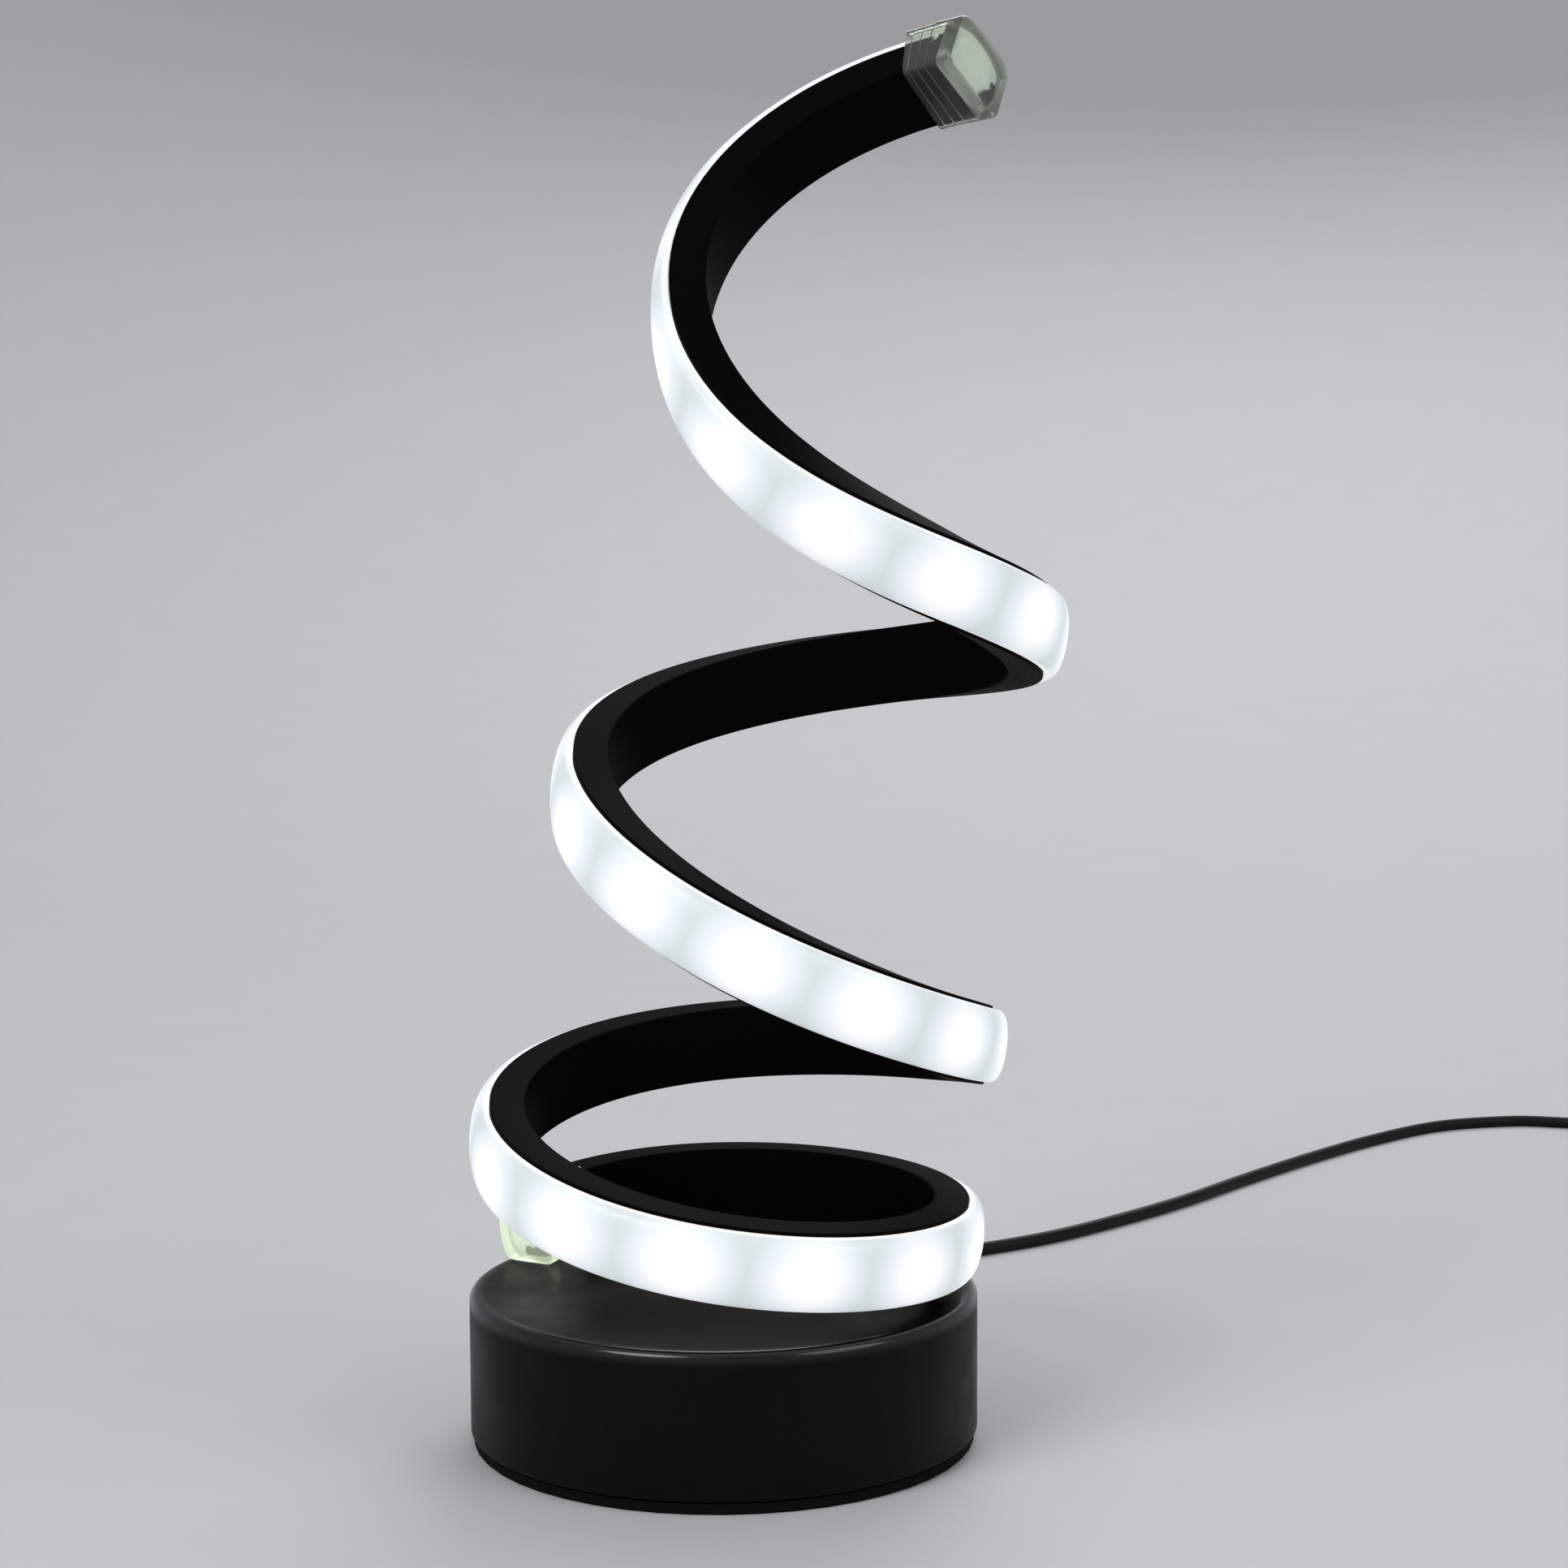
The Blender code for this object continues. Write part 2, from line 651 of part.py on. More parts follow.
def bulge(offset):
    """The bulged outer line of the opal cover, drawn in by an offset."""
    steps = DIFFUSER_ARC_STEPS
    side = STRIP_WIDTH / 2 - offset
    height = DIFFUSER_BULGE - offset
    line = []
    for step in range(steps + 1):
        angle = math.pi * (step / steps) - math.pi / 2
        depth = height * abs(math.cos(angle)) ** DIFFUSER_SQUARENESS
        line.append((depth if 0 < step < steps else 0, -side * math.sin(angle)))
    return line


def diffuser_outline():
    hold = STRIP_WIDTH / 2 - CHANNEL_WALL - SNAP_LIP - GAP
    lip = -GAP - SNAP_LIP_DEPTH - GAP
    hook = hold + SNAP_LIP
    inner = hold - DIFFUSER_LEG
    crown = DIFFUSER_BULGE - DIFFUSER_WALL
    lower_leg = [
        (0, -hold),
        (lip, -hold),
        (lip, -hook),
        (lip - DIFFUSER_HOOK, -hold + DIFFUSER_LEG / 2),
        (lip - DIFFUSER_HOOK, -inner),
        (0, -inner),
    ]
    ceiling = [(crown, -inner / 2), (crown, inner / 2)]
    upper_leg = [(depth, -width) for depth, width in reversed(lower_leg)]
    return bulge(0) + lower_leg + ceiling + upper_leg


def tape_outline():
    side = TAPE_WIDTH / 2
    return [(TAPE_BACK, side), (TAPE_BACK, -side), (TAPE_FACE, -side), (TAPE_FACE, side)]


def cap_outline(offset):
    """The strip's outside, made larger all round by an offset."""
    side = STRIP_WIDTH / 2 + offset
    back = -CHANNEL_DEPTH - offset
    corner = CHANNEL_CORNER + offset
    rim = [(depth + offset, width * side * 2 / STRIP_WIDTH) for depth, width in bulge(0)]
    return rim + [
        (back + corner, -side),
        (back, -side + corner),
        (back, side - corner),
        (back + corner, side),
    ]


# The base


def cover_profile():
    top = BASE_TOP
    profile = [(0, top)]
    for step in range(COVER_ROUND_STEPS + 1):
        angle = math.pi / 2 * (1 - step / COVER_ROUND_STEPS)
        profile.append(
            (
                BASE_RADIUS - COVER_TOP_ROUND + COVER_TOP_ROUND * math.cos(angle),
                top - COVER_TOP_ROUND + COVER_TOP_ROUND * math.sin(angle),
            )
        )
    lower_edge = COVER_LOWER_ROUND * EDGE_SHARE
    inner_round = max(COVER_TOP_ROUND - COVER_WALL, COVER_WALL * EDGE_SHARE)
    profile += [
        (BASE_RADIUS, COVER_BOTTOM + COVER_LOWER_ROUND),
        (BASE_RADIUS - lower_edge, COVER_BOTTOM + lower_edge),
        (BASE_RADIUS - COVER_LOWER_ROUND, COVER_BOTTOM),
        (COVER_INNER_RADIUS, COVER_BOTTOM),
        (COVER_INNER_RADIUS, COVER_CEILING - inner_round),
        (COVER_INNER_RADIUS - inner_round, COVER_CEILING),
        (0, COVER_CEILING),
    ]
    return profile


def pillar_places():
    places = []
    for k in range(PILLAR_COUNT):
        angle = PILLAR_FIRST_ANGLE + math.tau * k / PILLAR_COUNT
        places.append(
            Vector((PILLAR_CIRCLE_RADIUS * math.cos(angle), PILLAR_CIRCLE_RADIUS * math.sin(angle), 0))
        )
    return places


def underside(distance):
    """The strip's underside over the line of screws, and its lowest height near there."""
    length = strip_length()
    along = distance / length
    side = -STRIP_WIDTH / 2
    x, y, z = place_section(along, [(-SCREW_SETBACK, side)])[0]
    near = [(-SCREW_SETBACK - SPACER_RADIUS, side), (-SCREW_SETBACK + SPACER_RADIUS, side)]
    spread = SPACER_RADIUS / length
    heights = [place_section(along + step, near)[:, 2].min() for step in (-spread, spread)]
    return Vector((x, y, 0)), float(z), float(min(heights))


def strip_screw_places():
    return [underside(distance) for distance in STRIP_SCREW_DISTANCES]


def build_cover(parts, cutters, paint):
    cover = turned("base_cover", cover_profile(), parts, paint, BASE_SEGMENTS)
    for k, place in enumerate(pillar_places()):
        pillar = turned(
            f"pillar_{k}",
            rod_points(PILLAR_RADIUS, PILLAR_BOTTOM, COVER_CEILING + COVER_WALL / 2),
            cutters,
            segments=SCREW_SIDES,
        )
        pillar.location = place
        cut(cover, hide_cutter(pillar), "UNION")
    for k, place in enumerate(pillar_places()):
        low = place + Vector((0, 0, PILLAR_BOTTOM - OVERRUN))
        high = place + Vector((0, 0, PILLAR_BOTTOM + BASE_SCREW_GRIP + GAP))
        cut(cover, cylinder_cutter(f"pillar_bore_{k}", BASE_SCREW_RADIUS + GAP, low, high, cutters))
    for k, (place, *_) in enumerate(strip_screw_places()):
        low = place + Vector((0, 0, COVER_CEILING - OVERRUN))
        high = place + Vector((0, 0, BASE_TOP + OVERRUN))
        cut(cover, cylinder_cutter(f"cover_screw_hole_{k}", STRIP_SCREW_RADIUS + GAP, low, high, cutters))
    outlet = underside(WIRE_HOLE_DISTANCE)[0]
    low = outlet + Vector((0, 0, COVER_CEILING - OVERRUN))
    high = outlet + Vector((0, 0, BASE_TOP + OVERRUN))
    hole = WIRE_HOLE_RADIUS + GROMMET_WALL + GAP
    cut(cover, cylinder_cutter("cover_wire_hole", hole, low, high, cutters))
    start = Vector((0, COVER_INNER_RADIUS - OVERRUN, CORD_OUTLET_HEIGHT))
    end = Vector((0, BASE_RADIUS + OVERRUN, CORD_OUTLET_HEIGHT))
    cut(cover, cylinder_cutter("cover_cord_hole", BUSHING_NECK_RADIUS + GAP, start, end, cutters))
    return cover


def build_base_plate(parts, cutters, steel):
    radius = COVER_INNER_RADIUS - GAP
    plate = turned("base_plate", rod_points(radius, PLATE_BOTTOM, PLATE_TOP), parts, steel, BASE_SEGMENTS)
    for k, place in enumerate(pillar_places()):
        low = place + Vector((0, 0, PLATE_BOTTOM - OVERRUN))
        high = place + Vector((0, 0, PLATE_TOP + OVERRUN))
        cut(plate, cylinder_cutter(f"plate_hole_{k}", BASE_SCREW_RADIUS + GAP, low, high, cutters))
    return plate


def build_weight(parts, cutters, iron):
    weight = turned(
        "base_weight", rod_points(WEIGHT_RADIUS, WEIGHT_BOTTOM, WEIGHT_TOP), parts, iron, BASE_SEGMENTS
    )
    for k, place in enumerate(pillar_places()):
        low = place + Vector((0, 0, WEIGHT_BOTTOM - OVERRUN))
        high = place + Vector((0, 0, WEIGHT_TOP + OVERRUN))
        cut(weight, cylinder_cutter(f"weight_hole_{k}", BASE_SCREW_RADIUS + GAP, low, high, cutters))
    return weight


def build_foot(parts, cutters, rubber):
    radius = BASE_RADIUS - FOOT_INSET
    edge = FOOT_THICKNESS * EDGE_SHARE
    profile = [
        (0, FOOT_THICKNESS),
        (radius, FOOT_THICKNESS),
        (radius, edge),
        (radius - edge, 0),
        (0, 0),
    ]
    foot = turned("foot_pad", profile, parts, rubber, BASE_SEGMENTS)
    for k, place in enumerate(pillar_places()):
        low = place + Vector((0, 0, -OVERRUN))
        high = place + Vector((0, 0, FOOT_THICKNESS + OVERRUN))
        cut(foot, cylinder_cutter(f"foot_hole_{k}", SCREW_HEAD_RADIUS + GAP, low, high, cutters))
    return foot


def build_base_screws(parts, steel):
    head_top = PLATE_BOTTOM - GAP
    edge = SCREW_HEAD_HEIGHT * EDGE_SHARE
    tip = PILLAR_BOTTOM + BASE_SCREW_GRIP
    profile = [
        (0, tip),
        (BASE_SCREW_RADIUS, tip),
        (BASE_SCREW_RADIUS, head_top),
        (SCREW_HEAD_RADIUS, head_top),
        (SCREW_HEAD_RADIUS, head_top - SCREW_HEAD_HEIGHT + edge),
        (SCREW_HEAD_RADIUS - edge, head_top - SCREW_HEAD_HEIGHT),
        (0, head_top - SCREW_HEAD_HEIGHT),
    ]
    screw = settle(turned("screw", profile, parts, segments=SCREW_SIDES), parts)
    copies("base_screw", screw, [Matrix.Translation(place) for place in pillar_places()], parts, steel)


# The spiral's pieces


def build_channel(parts, cutters, black):
    channel = run("spiral_channel", channel_outline(), parts, black)
    holes = [(STRIP_SCREW_RADIUS + GAP, item) for item in strip_screw_places()]
    holes.append((WIRE_HOLE_RADIUS, underside(WIRE_HOLE_DISTANCE)))
    for k, (radius, (place, height, _)) in enumerate(holes):
        low = place + Vector((0, 0, height - OVERRUN))
        high = place + Vector((0, 0, height + CHANNEL_WALL * 2))
        cut(channel, cylinder_cutter(f"channel_hole_{k}", radius, low, high, cutters))
    return channel


def tape_block(name, size, places, cutters):
    """Blocks soldered to the tape's face."""
    pattern = block(name, size, (0, 0, size[2] / 2 - LED_SOLDER_DEPTH), cutters)
    return hide_cutter(joined(f"{name}s", pattern, places, cutters))


def build_tape(parts, cutters, white):
    """The lit tape, with its LEDs and a resistor between the first two of every three."""
    tape = run("led_tape", tape_outline(), parts, white)
    length = tape_distances()[-1]
    led_count = int((length - LED_FIRST - LED_SIZE) / LED_PITCH) + 1
    led_distances = [LED_FIRST + LED_PITCH * k for k in range(led_count)]
    resistor_distances = [
        distance + LED_PITCH / 2 for distance in led_distances[: -LEDS_PER_RESISTOR + 1 : LEDS_PER_RESISTOR]
    ]
    led_places = [strip_matrix(along_tape(distance), TAPE_FACE, 0) for distance in led_distances]
    resistor_places = [strip_matrix(along_tape(distance), TAPE_FACE, 0) for distance in resistor_distances]
    leds = tape_block("led", (LED_SIZE, LED_SIZE, LED_HEIGHT), led_places, cutters)
    size = (RESISTOR_LENGTH, RESISTOR_WIDTH, RESISTOR_HEIGHT)
    resistors = tape_block("resistor", size, resistor_places, cutters)
    cut(tape, leds, "UNION")
    cut(tape, resistors, "UNION")
    print("LEDs:", led_count, "tape in mm:", round(length / MM, 1))
    return tape


def cap_places(low, distances):
    """Places at one end of the strip; distances run inwards from that end."""
    shares = [distance / strip_length() for distance in distances]
    return shares if low else [1 - share for share in shares]


def build_cap(name, low, parts, cutters, clear):
    """A clear cap over one end of the strip: a bevelled solid end wall, and a dimple in its upper side."""
    end = -GAP - CAP_END_WALL
    places = cap_places(low, [end, end + CAP_EDGE, CAP_OVERLAP])
    full = cap_outline(GAP + CAP_WALL)
    cap = sweep(name, [cap_outline(GAP + CAP_WALL - CAP_EDGE), full, full], places, parts, clear)
    pocket_places = cap_places(low, [-GAP, CAP_OVERLAP + OVERRUN])
    cut(cap, hide_cutter(sweep(f"{name}_pocket", [cap_outline(GAP)] * 2, pocket_places, cutters)))
    middle = cap_places(low, [end / 2 - GAP / 2])[0]
    top = STRIP_WIDTH / 2 + GAP + CAP_WALL
    frame = strip_matrix(middle, -CHANNEL_DEPTH / 2, top)
    upward = frame.to_3x3() @ Vector((0, 1, 0))
    floor = frame.translation - upward * CAP_DIMPLE_DEPTH
    above = frame.translation + upward * OVERRUN
    cut(cap, cylinder_cutter(f"{name}_dimple", CAP_DIMPLE_RADIUS, floor, above, cutters))
    return cap


def build_strip_screws(parts, steel):
    """Screws up through the base's top into the channel's lower wall."""
    head_top = COVER_CEILING - GAP
    head_bottom = head_top - SCREW_HEAD_HEIGHT
    for k, (place, height, _) in enumerate(strip_screw_places()):
        tip = height + CHANNEL_WALL + STRIP_SCREW_REACH
        profile = [
            (0, tip),
            (STRIP_SCREW_RADIUS, tip),
            (STRIP_SCREW_RADIUS, head_top),
            (SCREW_HEAD_RADIUS, head_top),
            (SCREW_HEAD_RADIUS, head_bottom),
            (0, head_bottom),
        ]
        turned(f"strip_screw_{k + 1}", profile, parts, steel, SCREW_SIDES).location = place


def build_spacers(parts, plastic):
    """Washers that fill the height between the base's top and the strip round each screw."""
    for k, (place, _, clear) in enumerate(strip_screw_places()):
        low = BASE_TOP + GAP
        high = clear - GAP
        bore = STRIP_SCREW_RADIUS + GAP
        profile = [(SPACER_RADIUS, high), (SPACER_RADIUS, low), (bore, low), (bore, high)]
        turned(f"strip_spacer_{k + 1}", profile, parts, plastic, SCREW_SIDES).location = place


def build_grommet(parts, rubber):
    place = underside(WIRE_HOLE_DISTANCE)[0]
    neck = WIRE_HOLE_RADIUS + GROMMET_WALL
    flange = neck + GROMMET_FLANGE
    top = BASE_TOP + GAP
    bottom = COVER_CEILING - GAP
    bore = WIRE_HOLE_RADIUS - GAP
    profile = [
        (flange, top + GROMMET_THICKNESS),
        (flange, top),
        (neck, top),
        (neck, bottom),
        (flange, bottom),
        (flange, bottom - GROMMET_THICKNESS),
        (bore, bottom - GROMMET_THICKNESS),
        (bore, top + GROMMET_THICKNESS),
    ]
    turned("wire_grommet", profile, parts, rubber, SCREW_SIDES).location = place


# The lead, from the wires inside the base to the plug


def build_bushing(parts, rubber):
    """Turned about the lead: a groove grips the wall, and a tapered tail guards the bend."""
    bore = CORD_RADIUS + GAP
    inside = COVER_INNER_RADIUS - GAP - BASE_RADIUS * (1 - math.cos(BUSHING_FLANGE_RADIUS / BASE_RADIUS))
    outside = BASE_RADIUS + GAP
    shoulder = outside + BUSHING_FLANGE_THICKNESS
    taper = BUSHING_TAIL_START_RADIUS - BUSHING_TAIL_END_RADIUS
    tail = [(BUSHING_TAIL_END_RADIUS, BUSHING_END)]
    for k in range(BUSHING_GROOVE_COUNT):
        share = (k + 1) / (BUSHING_GROOVE_COUNT + 1)
        middle = BUSHING_END - BUSHING_TAIL_LENGTH * share
        radius = BUSHING_TAIL_END_RADIUS + taper * share
        half = BUSHING_GROOVE_WIDTH / 2
        tail += [(radius, middle + half), (radius - BUSHING_GROOVE_DEPTH, middle), (radius, middle - half)]
    profile = tail + [
        (BUSHING_TAIL_START_RADIUS, shoulder),
        (BUSHING_FLANGE_RADIUS, shoulder),
        (BUSHING_FLANGE_RADIUS, outside),
        (BUSHING_NECK_RADIUS, outside),
        (BUSHING_NECK_RADIUS, inside),
        (BUSHING_FLANGE_RADIUS, inside),
        (BUSHING_FLANGE_RADIUS, inside - BUSHING_FLANGE_THICKNESS),
        (bore, inside - BUSHING_FLANGE_THICKNESS),
        (bore, BUSHING_END),
    ]
    bushing = turned("cord_bushing", profile, parts, rubber, SCREW_SIDES)
    bushing.location = (0, 0, CORD_OUTLET_HEIGHT)
    bushing.rotation_euler = (-math.pi / 2, 0, 0)
    return bushing


def build_stop_ring(parts, plastic):
    bore = CORD_RADIUS + GAP
    start = CORD_INNER_END + GAP
    profile = [
        (STOP_RING_RADIUS, start + STOP_RING_LENGTH),
        (STOP_RING_RADIUS, start),
        (bore, start),
        (bore, start + STOP_RING_LENGTH),
    ]
    ring = turned("cord_stop_ring", profile, parts, plastic, SCREW_SIDES)
    ring.location = (0, 0, CORD_OUTLET_HEIGHT)
    ring.rotation_euler = (-math.pi / 2, 0, 0)
    return ring


def switch_direction():
    return Vector((math.cos(SWITCH_HEADING), math.sin(SWITCH_HEADING), 0))


def switch_point(distance, height):
    """A point on the lead's line through the switch, from its middle."""
    return Vector((*SWITCH_CENTRE, height)) + switch_direction() * distance


def lamp_cord_route():
    """From inside the base, through the outlet, down to the floor and along it to the switch."""
    straight = [
        (0, CORD_INNER_END, CORD_OUTLET_HEIGHT),
        (0, COVER_INNER_RADIUS, CORD_OUTLET_HEIGHT),
        (0, BUSHING_END, CORD_OUTLET_HEIGHT),
        (0, BUSHING_END + CORD_DIAMETER, CORD_OUTLET_HEIGHT),
    ]
    drop = CORD_OUTLET_HEIGHT - CORD_RADIUS
    landing = [(x, BUSHING_END + y, CORD_RADIUS + drop * share) for x, y, share in LANDING_STEPS]
    floor = [(x, y, CORD_RADIUS) for x, y in FLOOR_ROUTE]
    end = -SWITCH_LENGTH / 2 + SWITCH_WALL
    arrival = [
        tuple(switch_point(end - SWITCH_RUN, SWITCH_CORD_HEIGHT)),
        tuple(switch_point(end, SWITCH_CORD_HEIGHT)),
    ]
    return straight + landing + floor + arrival


def coil_points():
    """Two layers of loops: inwards on the lower layer, outwards on the upper one."""
    points = []
    steps = COIL_TURNS * COIL_POINTS_PER_TURN
    low = COIL_LIFT + CORD_RADIUS
    for step in range(steps + 1):
        turn = step / COIL_POINTS_PER_TURN
        from_middle = abs(turn - COIL_LAYER_TURNS)
        radius = COIL_OUTER - COIL_STEP * (COIL_LAYER_TURNS - from_middle)
        climb = min(max((turn - COIL_LAYER_TURNS) * 2 + 1 / 2, 0), 1)
        angle = -math.tau * turn
        points.append(
            Vector(
                (
                    COIL_CENTRE[0] + radius * math.cos(angle),
                    COIL_CENTRE[1] + radius * math.sin(angle),
                    low + COIL_STEP * climb,
                )
            )
        )
    lead_in = points[0] + Vector((0, CORD_DIAMETER, 0))
    lead_out = points[-1] - Vector((0, CORD_DIAMETER, 0))
    return [lead_in] + points + [lead_out]


def coil_gap(points):
    """Least distance between the surfaces of turns that aren't neighbours along the lead."""
    line = np.array(points)
    least = math.inf
    reach = COIL_POINTS_PER_TURN // 2
    for i in range(len(line) - reach):
        start = line[i + reach : -1]
        step = line[i + reach + 1 :] - start
        if len(start) == 0:
            continue
        part = np.clip(np.sum((line[i] - start) * step, axis=1) / np.sum(step * step, axis=1), 0, 1)
        nearest = np.linalg.norm(line[i] - start - step * part[:, None], axis=1).min()
        least = min(least, nearest - CORD_DIAMETER)
    return least


def switch_to_coil_route():
    start = SWITCH_LENGTH / 2 - SWITCH_WALL
    entry = coil_points()[0] + Vector((0, GAP, 0))
    return [
        tuple(switch_point(start, SWITCH_CORD_HEIGHT)),
        tuple(switch_point(start + SWITCH_RUN, SWITCH_CORD_HEIGHT)),
        tuple(switch_point(start + SWITCH_DROP, COIL_LIFT + CORD_RADIUS)),
        tuple(entry + Vector((0, COIL_APPROACH, 0))),
        tuple(entry + Vector((0, CORD_DIAMETER, 0))),
        tuple(entry),
    ]


def tail_route():
    leave = coil_points()[-1] - Vector((0, GAP, 0))
    plug = Vector((leave.x, PLUG_CENTRE_Y + PLUG_BODY_LENGTH / 2 + PLUG_TAIL_LENGTH / 2, PLUG_HEIGHT))
    middle = (leave + plug) / 2
    return [
        tuple(leave),
        tuple(leave - Vector((0, CORD_DIAMETER, 0))),
        (middle.x, middle.y, (leave.z + PLUG_HEIGHT) / 2),
        tuple(plug + Vector((0, PLUG_APPROACH, 0))),
        tuple(plug),
    ]


def build_cords(parts, jacket):
    lamp_side = lead_route(lamp_cord_route())
    middle = lead_route(switch_to_coil_route())
    tail = lead_route(tail_route())
    coil = coil_points()
    wire("cord_lamp_side", lamp_side, CORD_RADIUS, parts, jacket)
    wire("cord_switch_to_coil", middle, CORD_RADIUS, parts, jacket)
    wire("cord_coil", coil, CORD_RADIUS, parts, jacket, COIL_RESOLUTION)
    wire("cord_tail", tail, CORD_RADIUS, parts, jacket)
    lengths = [float(travelled(np.array(points))[-1]) for points in (lamp_side, middle, coil, tail)]
    print("lead lengths in m:", [round(length, 4) for length in lengths], "total", round(sum(lengths), 4))
    print("least gap between turns in mm:", round(coil_gap(coil) / MM, 3))


def build_tie(parts, fabric):
    """A flat band round the whole bundle of turns, on the side away from the lead's ends."""
    inner_low = COIL_LIFT - GAP
    inner_high = COIL_LIFT + COIL_STEP + CORD_DIAMETER + GAP
    half = COIL_LAYER_TURNS * COIL_STEP / 2 + CORD_RADIUS + GAP
    middle = (inner_low + inner_high) / 2
    tall = (inner_high - inner_low) / 2
    centre = (COIL_CENTRE[0] - COIL_MID_DIAMETER / 2, COIL_CENTRE[1], middle)
    size = (2 * (half + TIE_THICKNESS), TIE_WIDTH, 2 * (tall + TIE_THICKNESS))
    outer = block("coil_tie", size, centre, parts, fabric)
    hole_size = (2 * half, TIE_WIDTH + 2 * OVERRUN, 2 * tall)
    hole = block("coil_tie_hole", hole_size, centre, bpy.data.collections["cutters"])
    cut(outer, hide_cutter(hole))
    return outer


def build_inner_wires(parts, red, black, sleeve):
    """Two cores leave the jacket, meet the strip's wires in sleeves, and those rise to the tape."""
    hole, height, _ = underside(WIRE_HOLE_DISTANCE)
    frame = strip_matrix(WIRE_HOLE_DISTANCE / strip_length(), 0, 0).to_3x3()
    level = frame @ Vector((1, 0, 0))
    level = Vector((level.x, level.y, 0)).normalized()
    inward = frame @ Vector((0, 0, -1))
    inward = Vector((inward.x, inward.y, 0)).normalized()
    core_end = CORD_INNER_END - GAP - CORE_LENGTH
    sleeve_end = core_end - GAP - SLEEVE_LENGTH
    cruise = (COVER_CEILING + CORD_OUTLET_HEIGHT) / 2
    pattern = settle(
        turned(
            "sleeve",
            rod_points(SLEEVE_RADIUS, sleeve_end, sleeve_end + SLEEVE_LENGTH),
            parts,
            segments=SCREW_SIDES // 2,
        ),
        parts,
    )
    places = []
    for side, finish, colour in ((1, red, "red"), (-1, black, "black")):
        offset = CORE_SPREAD * side
        core = [
            (CORE_START * side, CORD_INNER_END - GAP, CORD_OUTLET_HEIGHT),
            (offset, CORD_INNER_END - CORE_LENGTH / 2, CORD_OUTLET_HEIGHT),
            (offset, core_end, CORD_OUTLET_HEIGHT),
        ]
        wire(f"cord_core_{colour}", smooth_route(core, CORE_SPACING), CORE_RADIUS, parts, finish)
        turn = Matrix.Rotation(-math.pi / 2, 4, "X")
        places.append(Matrix.Translation((offset, 0, CORD_OUTLET_HEIGHT)) @ turn)
        under = hole - level * WIRE_SPREAD * side
        start = Vector((offset, sleeve_end - GAP, CORD_OUTLET_HEIGHT))
        top = height + CHANNEL_WALL + STRIP_SCREW_REACH
        feed = [
            tuple(start),
            (start.x - SLEEVE_LENGTH / 2, start.y - SLEEVE_LENGTH / 2, cruise),
            ((start.x + under.x) / 2, (start.y + under.y) / 2, cruise),
            (under.x + inward.x * SLEEVE_LENGTH / 2, under.y + inward.y * SLEEVE_LENGTH / 2, cruise),
            (under.x, under.y, COVER_CEILING - SCREW_HEAD_HEIGHT),
            (under.x, under.y, top),
        ]
        route = smooth_route(feed, WIRE_SPACING)
        wire(f"feed_wire_{colour}", route, WIRE_RADIUS, parts, finish)
    copies("joint_sleeve", pattern, places, parts, sleeve)


# The switch


def switch_frame():
    turn = Matrix.Rotation(SWITCH_HEADING, 4, "Z")
    return Matrix.Translation((*SWITCH_CENTRE, 0)) @ turn


def switch_outline(inset):
    half = SWITCH_LENGTH / 2 - inset
    wide = SWITCH_WIDTH / 2 - inset
    narrow = SWITCH_END_WIDTH / 2 - inset
    shoulder = SWITCH_LENGTH / 2 - SWITCH_SHOULDER
    quarter = [(half, narrow), (shoulder, wide)]
    left = [(-x, y) for x, y in reversed(quarter)]
    return quarter + left + [(x, -y) for x, y in reversed(left)] + [(x, -y) for x, y in reversed(quarter)]


def flat_solid(name, outline, low, high, collection, finish=None):
    """A flat outline raised between two heights."""
    curve = bpy.data.curves.new(name, "CURVE")
    curve.dimensions = "2D"
    curve.fill_mode = "BOTH"
    curve.extrude = (high - low) / 2
    spline = curve.splines.new("POLY")
    spline.points.add(len(outline) - 1)
    for target, (x, y) in zip(spline.points, outline):
        target.co = (x, y, 0, 1)
    spline.use_cyclic_u = True
    item = link(name, curve, collection)
    item.location = (0, 0, (low + high) / 2)
    return settle(item, collection, finish)


def rocker_side():
    """Side view about the pivot: a shallow valley on top, narrower below."""
    half = ROCKER_LENGTH / 2
    middle = ROCKER_PIVOT_DEPTH + ROCKER_RISE
    end = middle + half * math.tan(ROCKER_TILT)
    foot = half * ROCKER_FOOT_SHARE
    return [(half, end), (0, middle), (-half, end), (-foot, -ROCKER_DEPTH), (foot, -ROCKER_DEPTH)]


def rocker_window():
    x, z = rocker_side()[0]
    return x * math.cos(ROCKER_TILT) + z * math.sin(ROCKER_TILT) + GAP, ROCKER_WIDTH / 2 + GAP


def build_switch_half(name, low, high, cavity_low, cavity_high, parts, cutters, plastic):
    half = flat_solid(name, switch_outline(0), low, high, parts, plastic)
    bevel(half, SWITCH_EDGE)
    cavity = flat_solid(f"{name}_cavity", cavity_outline(), cavity_low, cavity_high, cutters)
    cut(half, hide_cutter(cavity))
    bore = CORD_RADIUS + GAP
    reach = SWITCH_LENGTH / 2 + OVERRUN
    for side in (-1, 1):
        start = Vector((side * (SWITCH_LENGTH / 2 - SWITCH_SHOULDER - SWITCH_WALL), 0, SWITCH_CORD_HEIGHT))
        end = Vector((side * reach, 0, SWITCH_CORD_HEIGHT))
        cut(half, cylinder_cutter(f"{name}_cord_{side}", bore, start, end, cutters, SMALL_SIDES))
    return half


def cavity_outline():
    x = SWITCH_LENGTH / 2 - SWITCH_SHOULDER - SWITCH_WALL
    y = SWITCH_SCREW_SIDE - SWITCH_SCREW_RADIUS - SWITCH_WALL / 2
    return [(x, y), (-x, y), (-x, -y), (x, -y)]


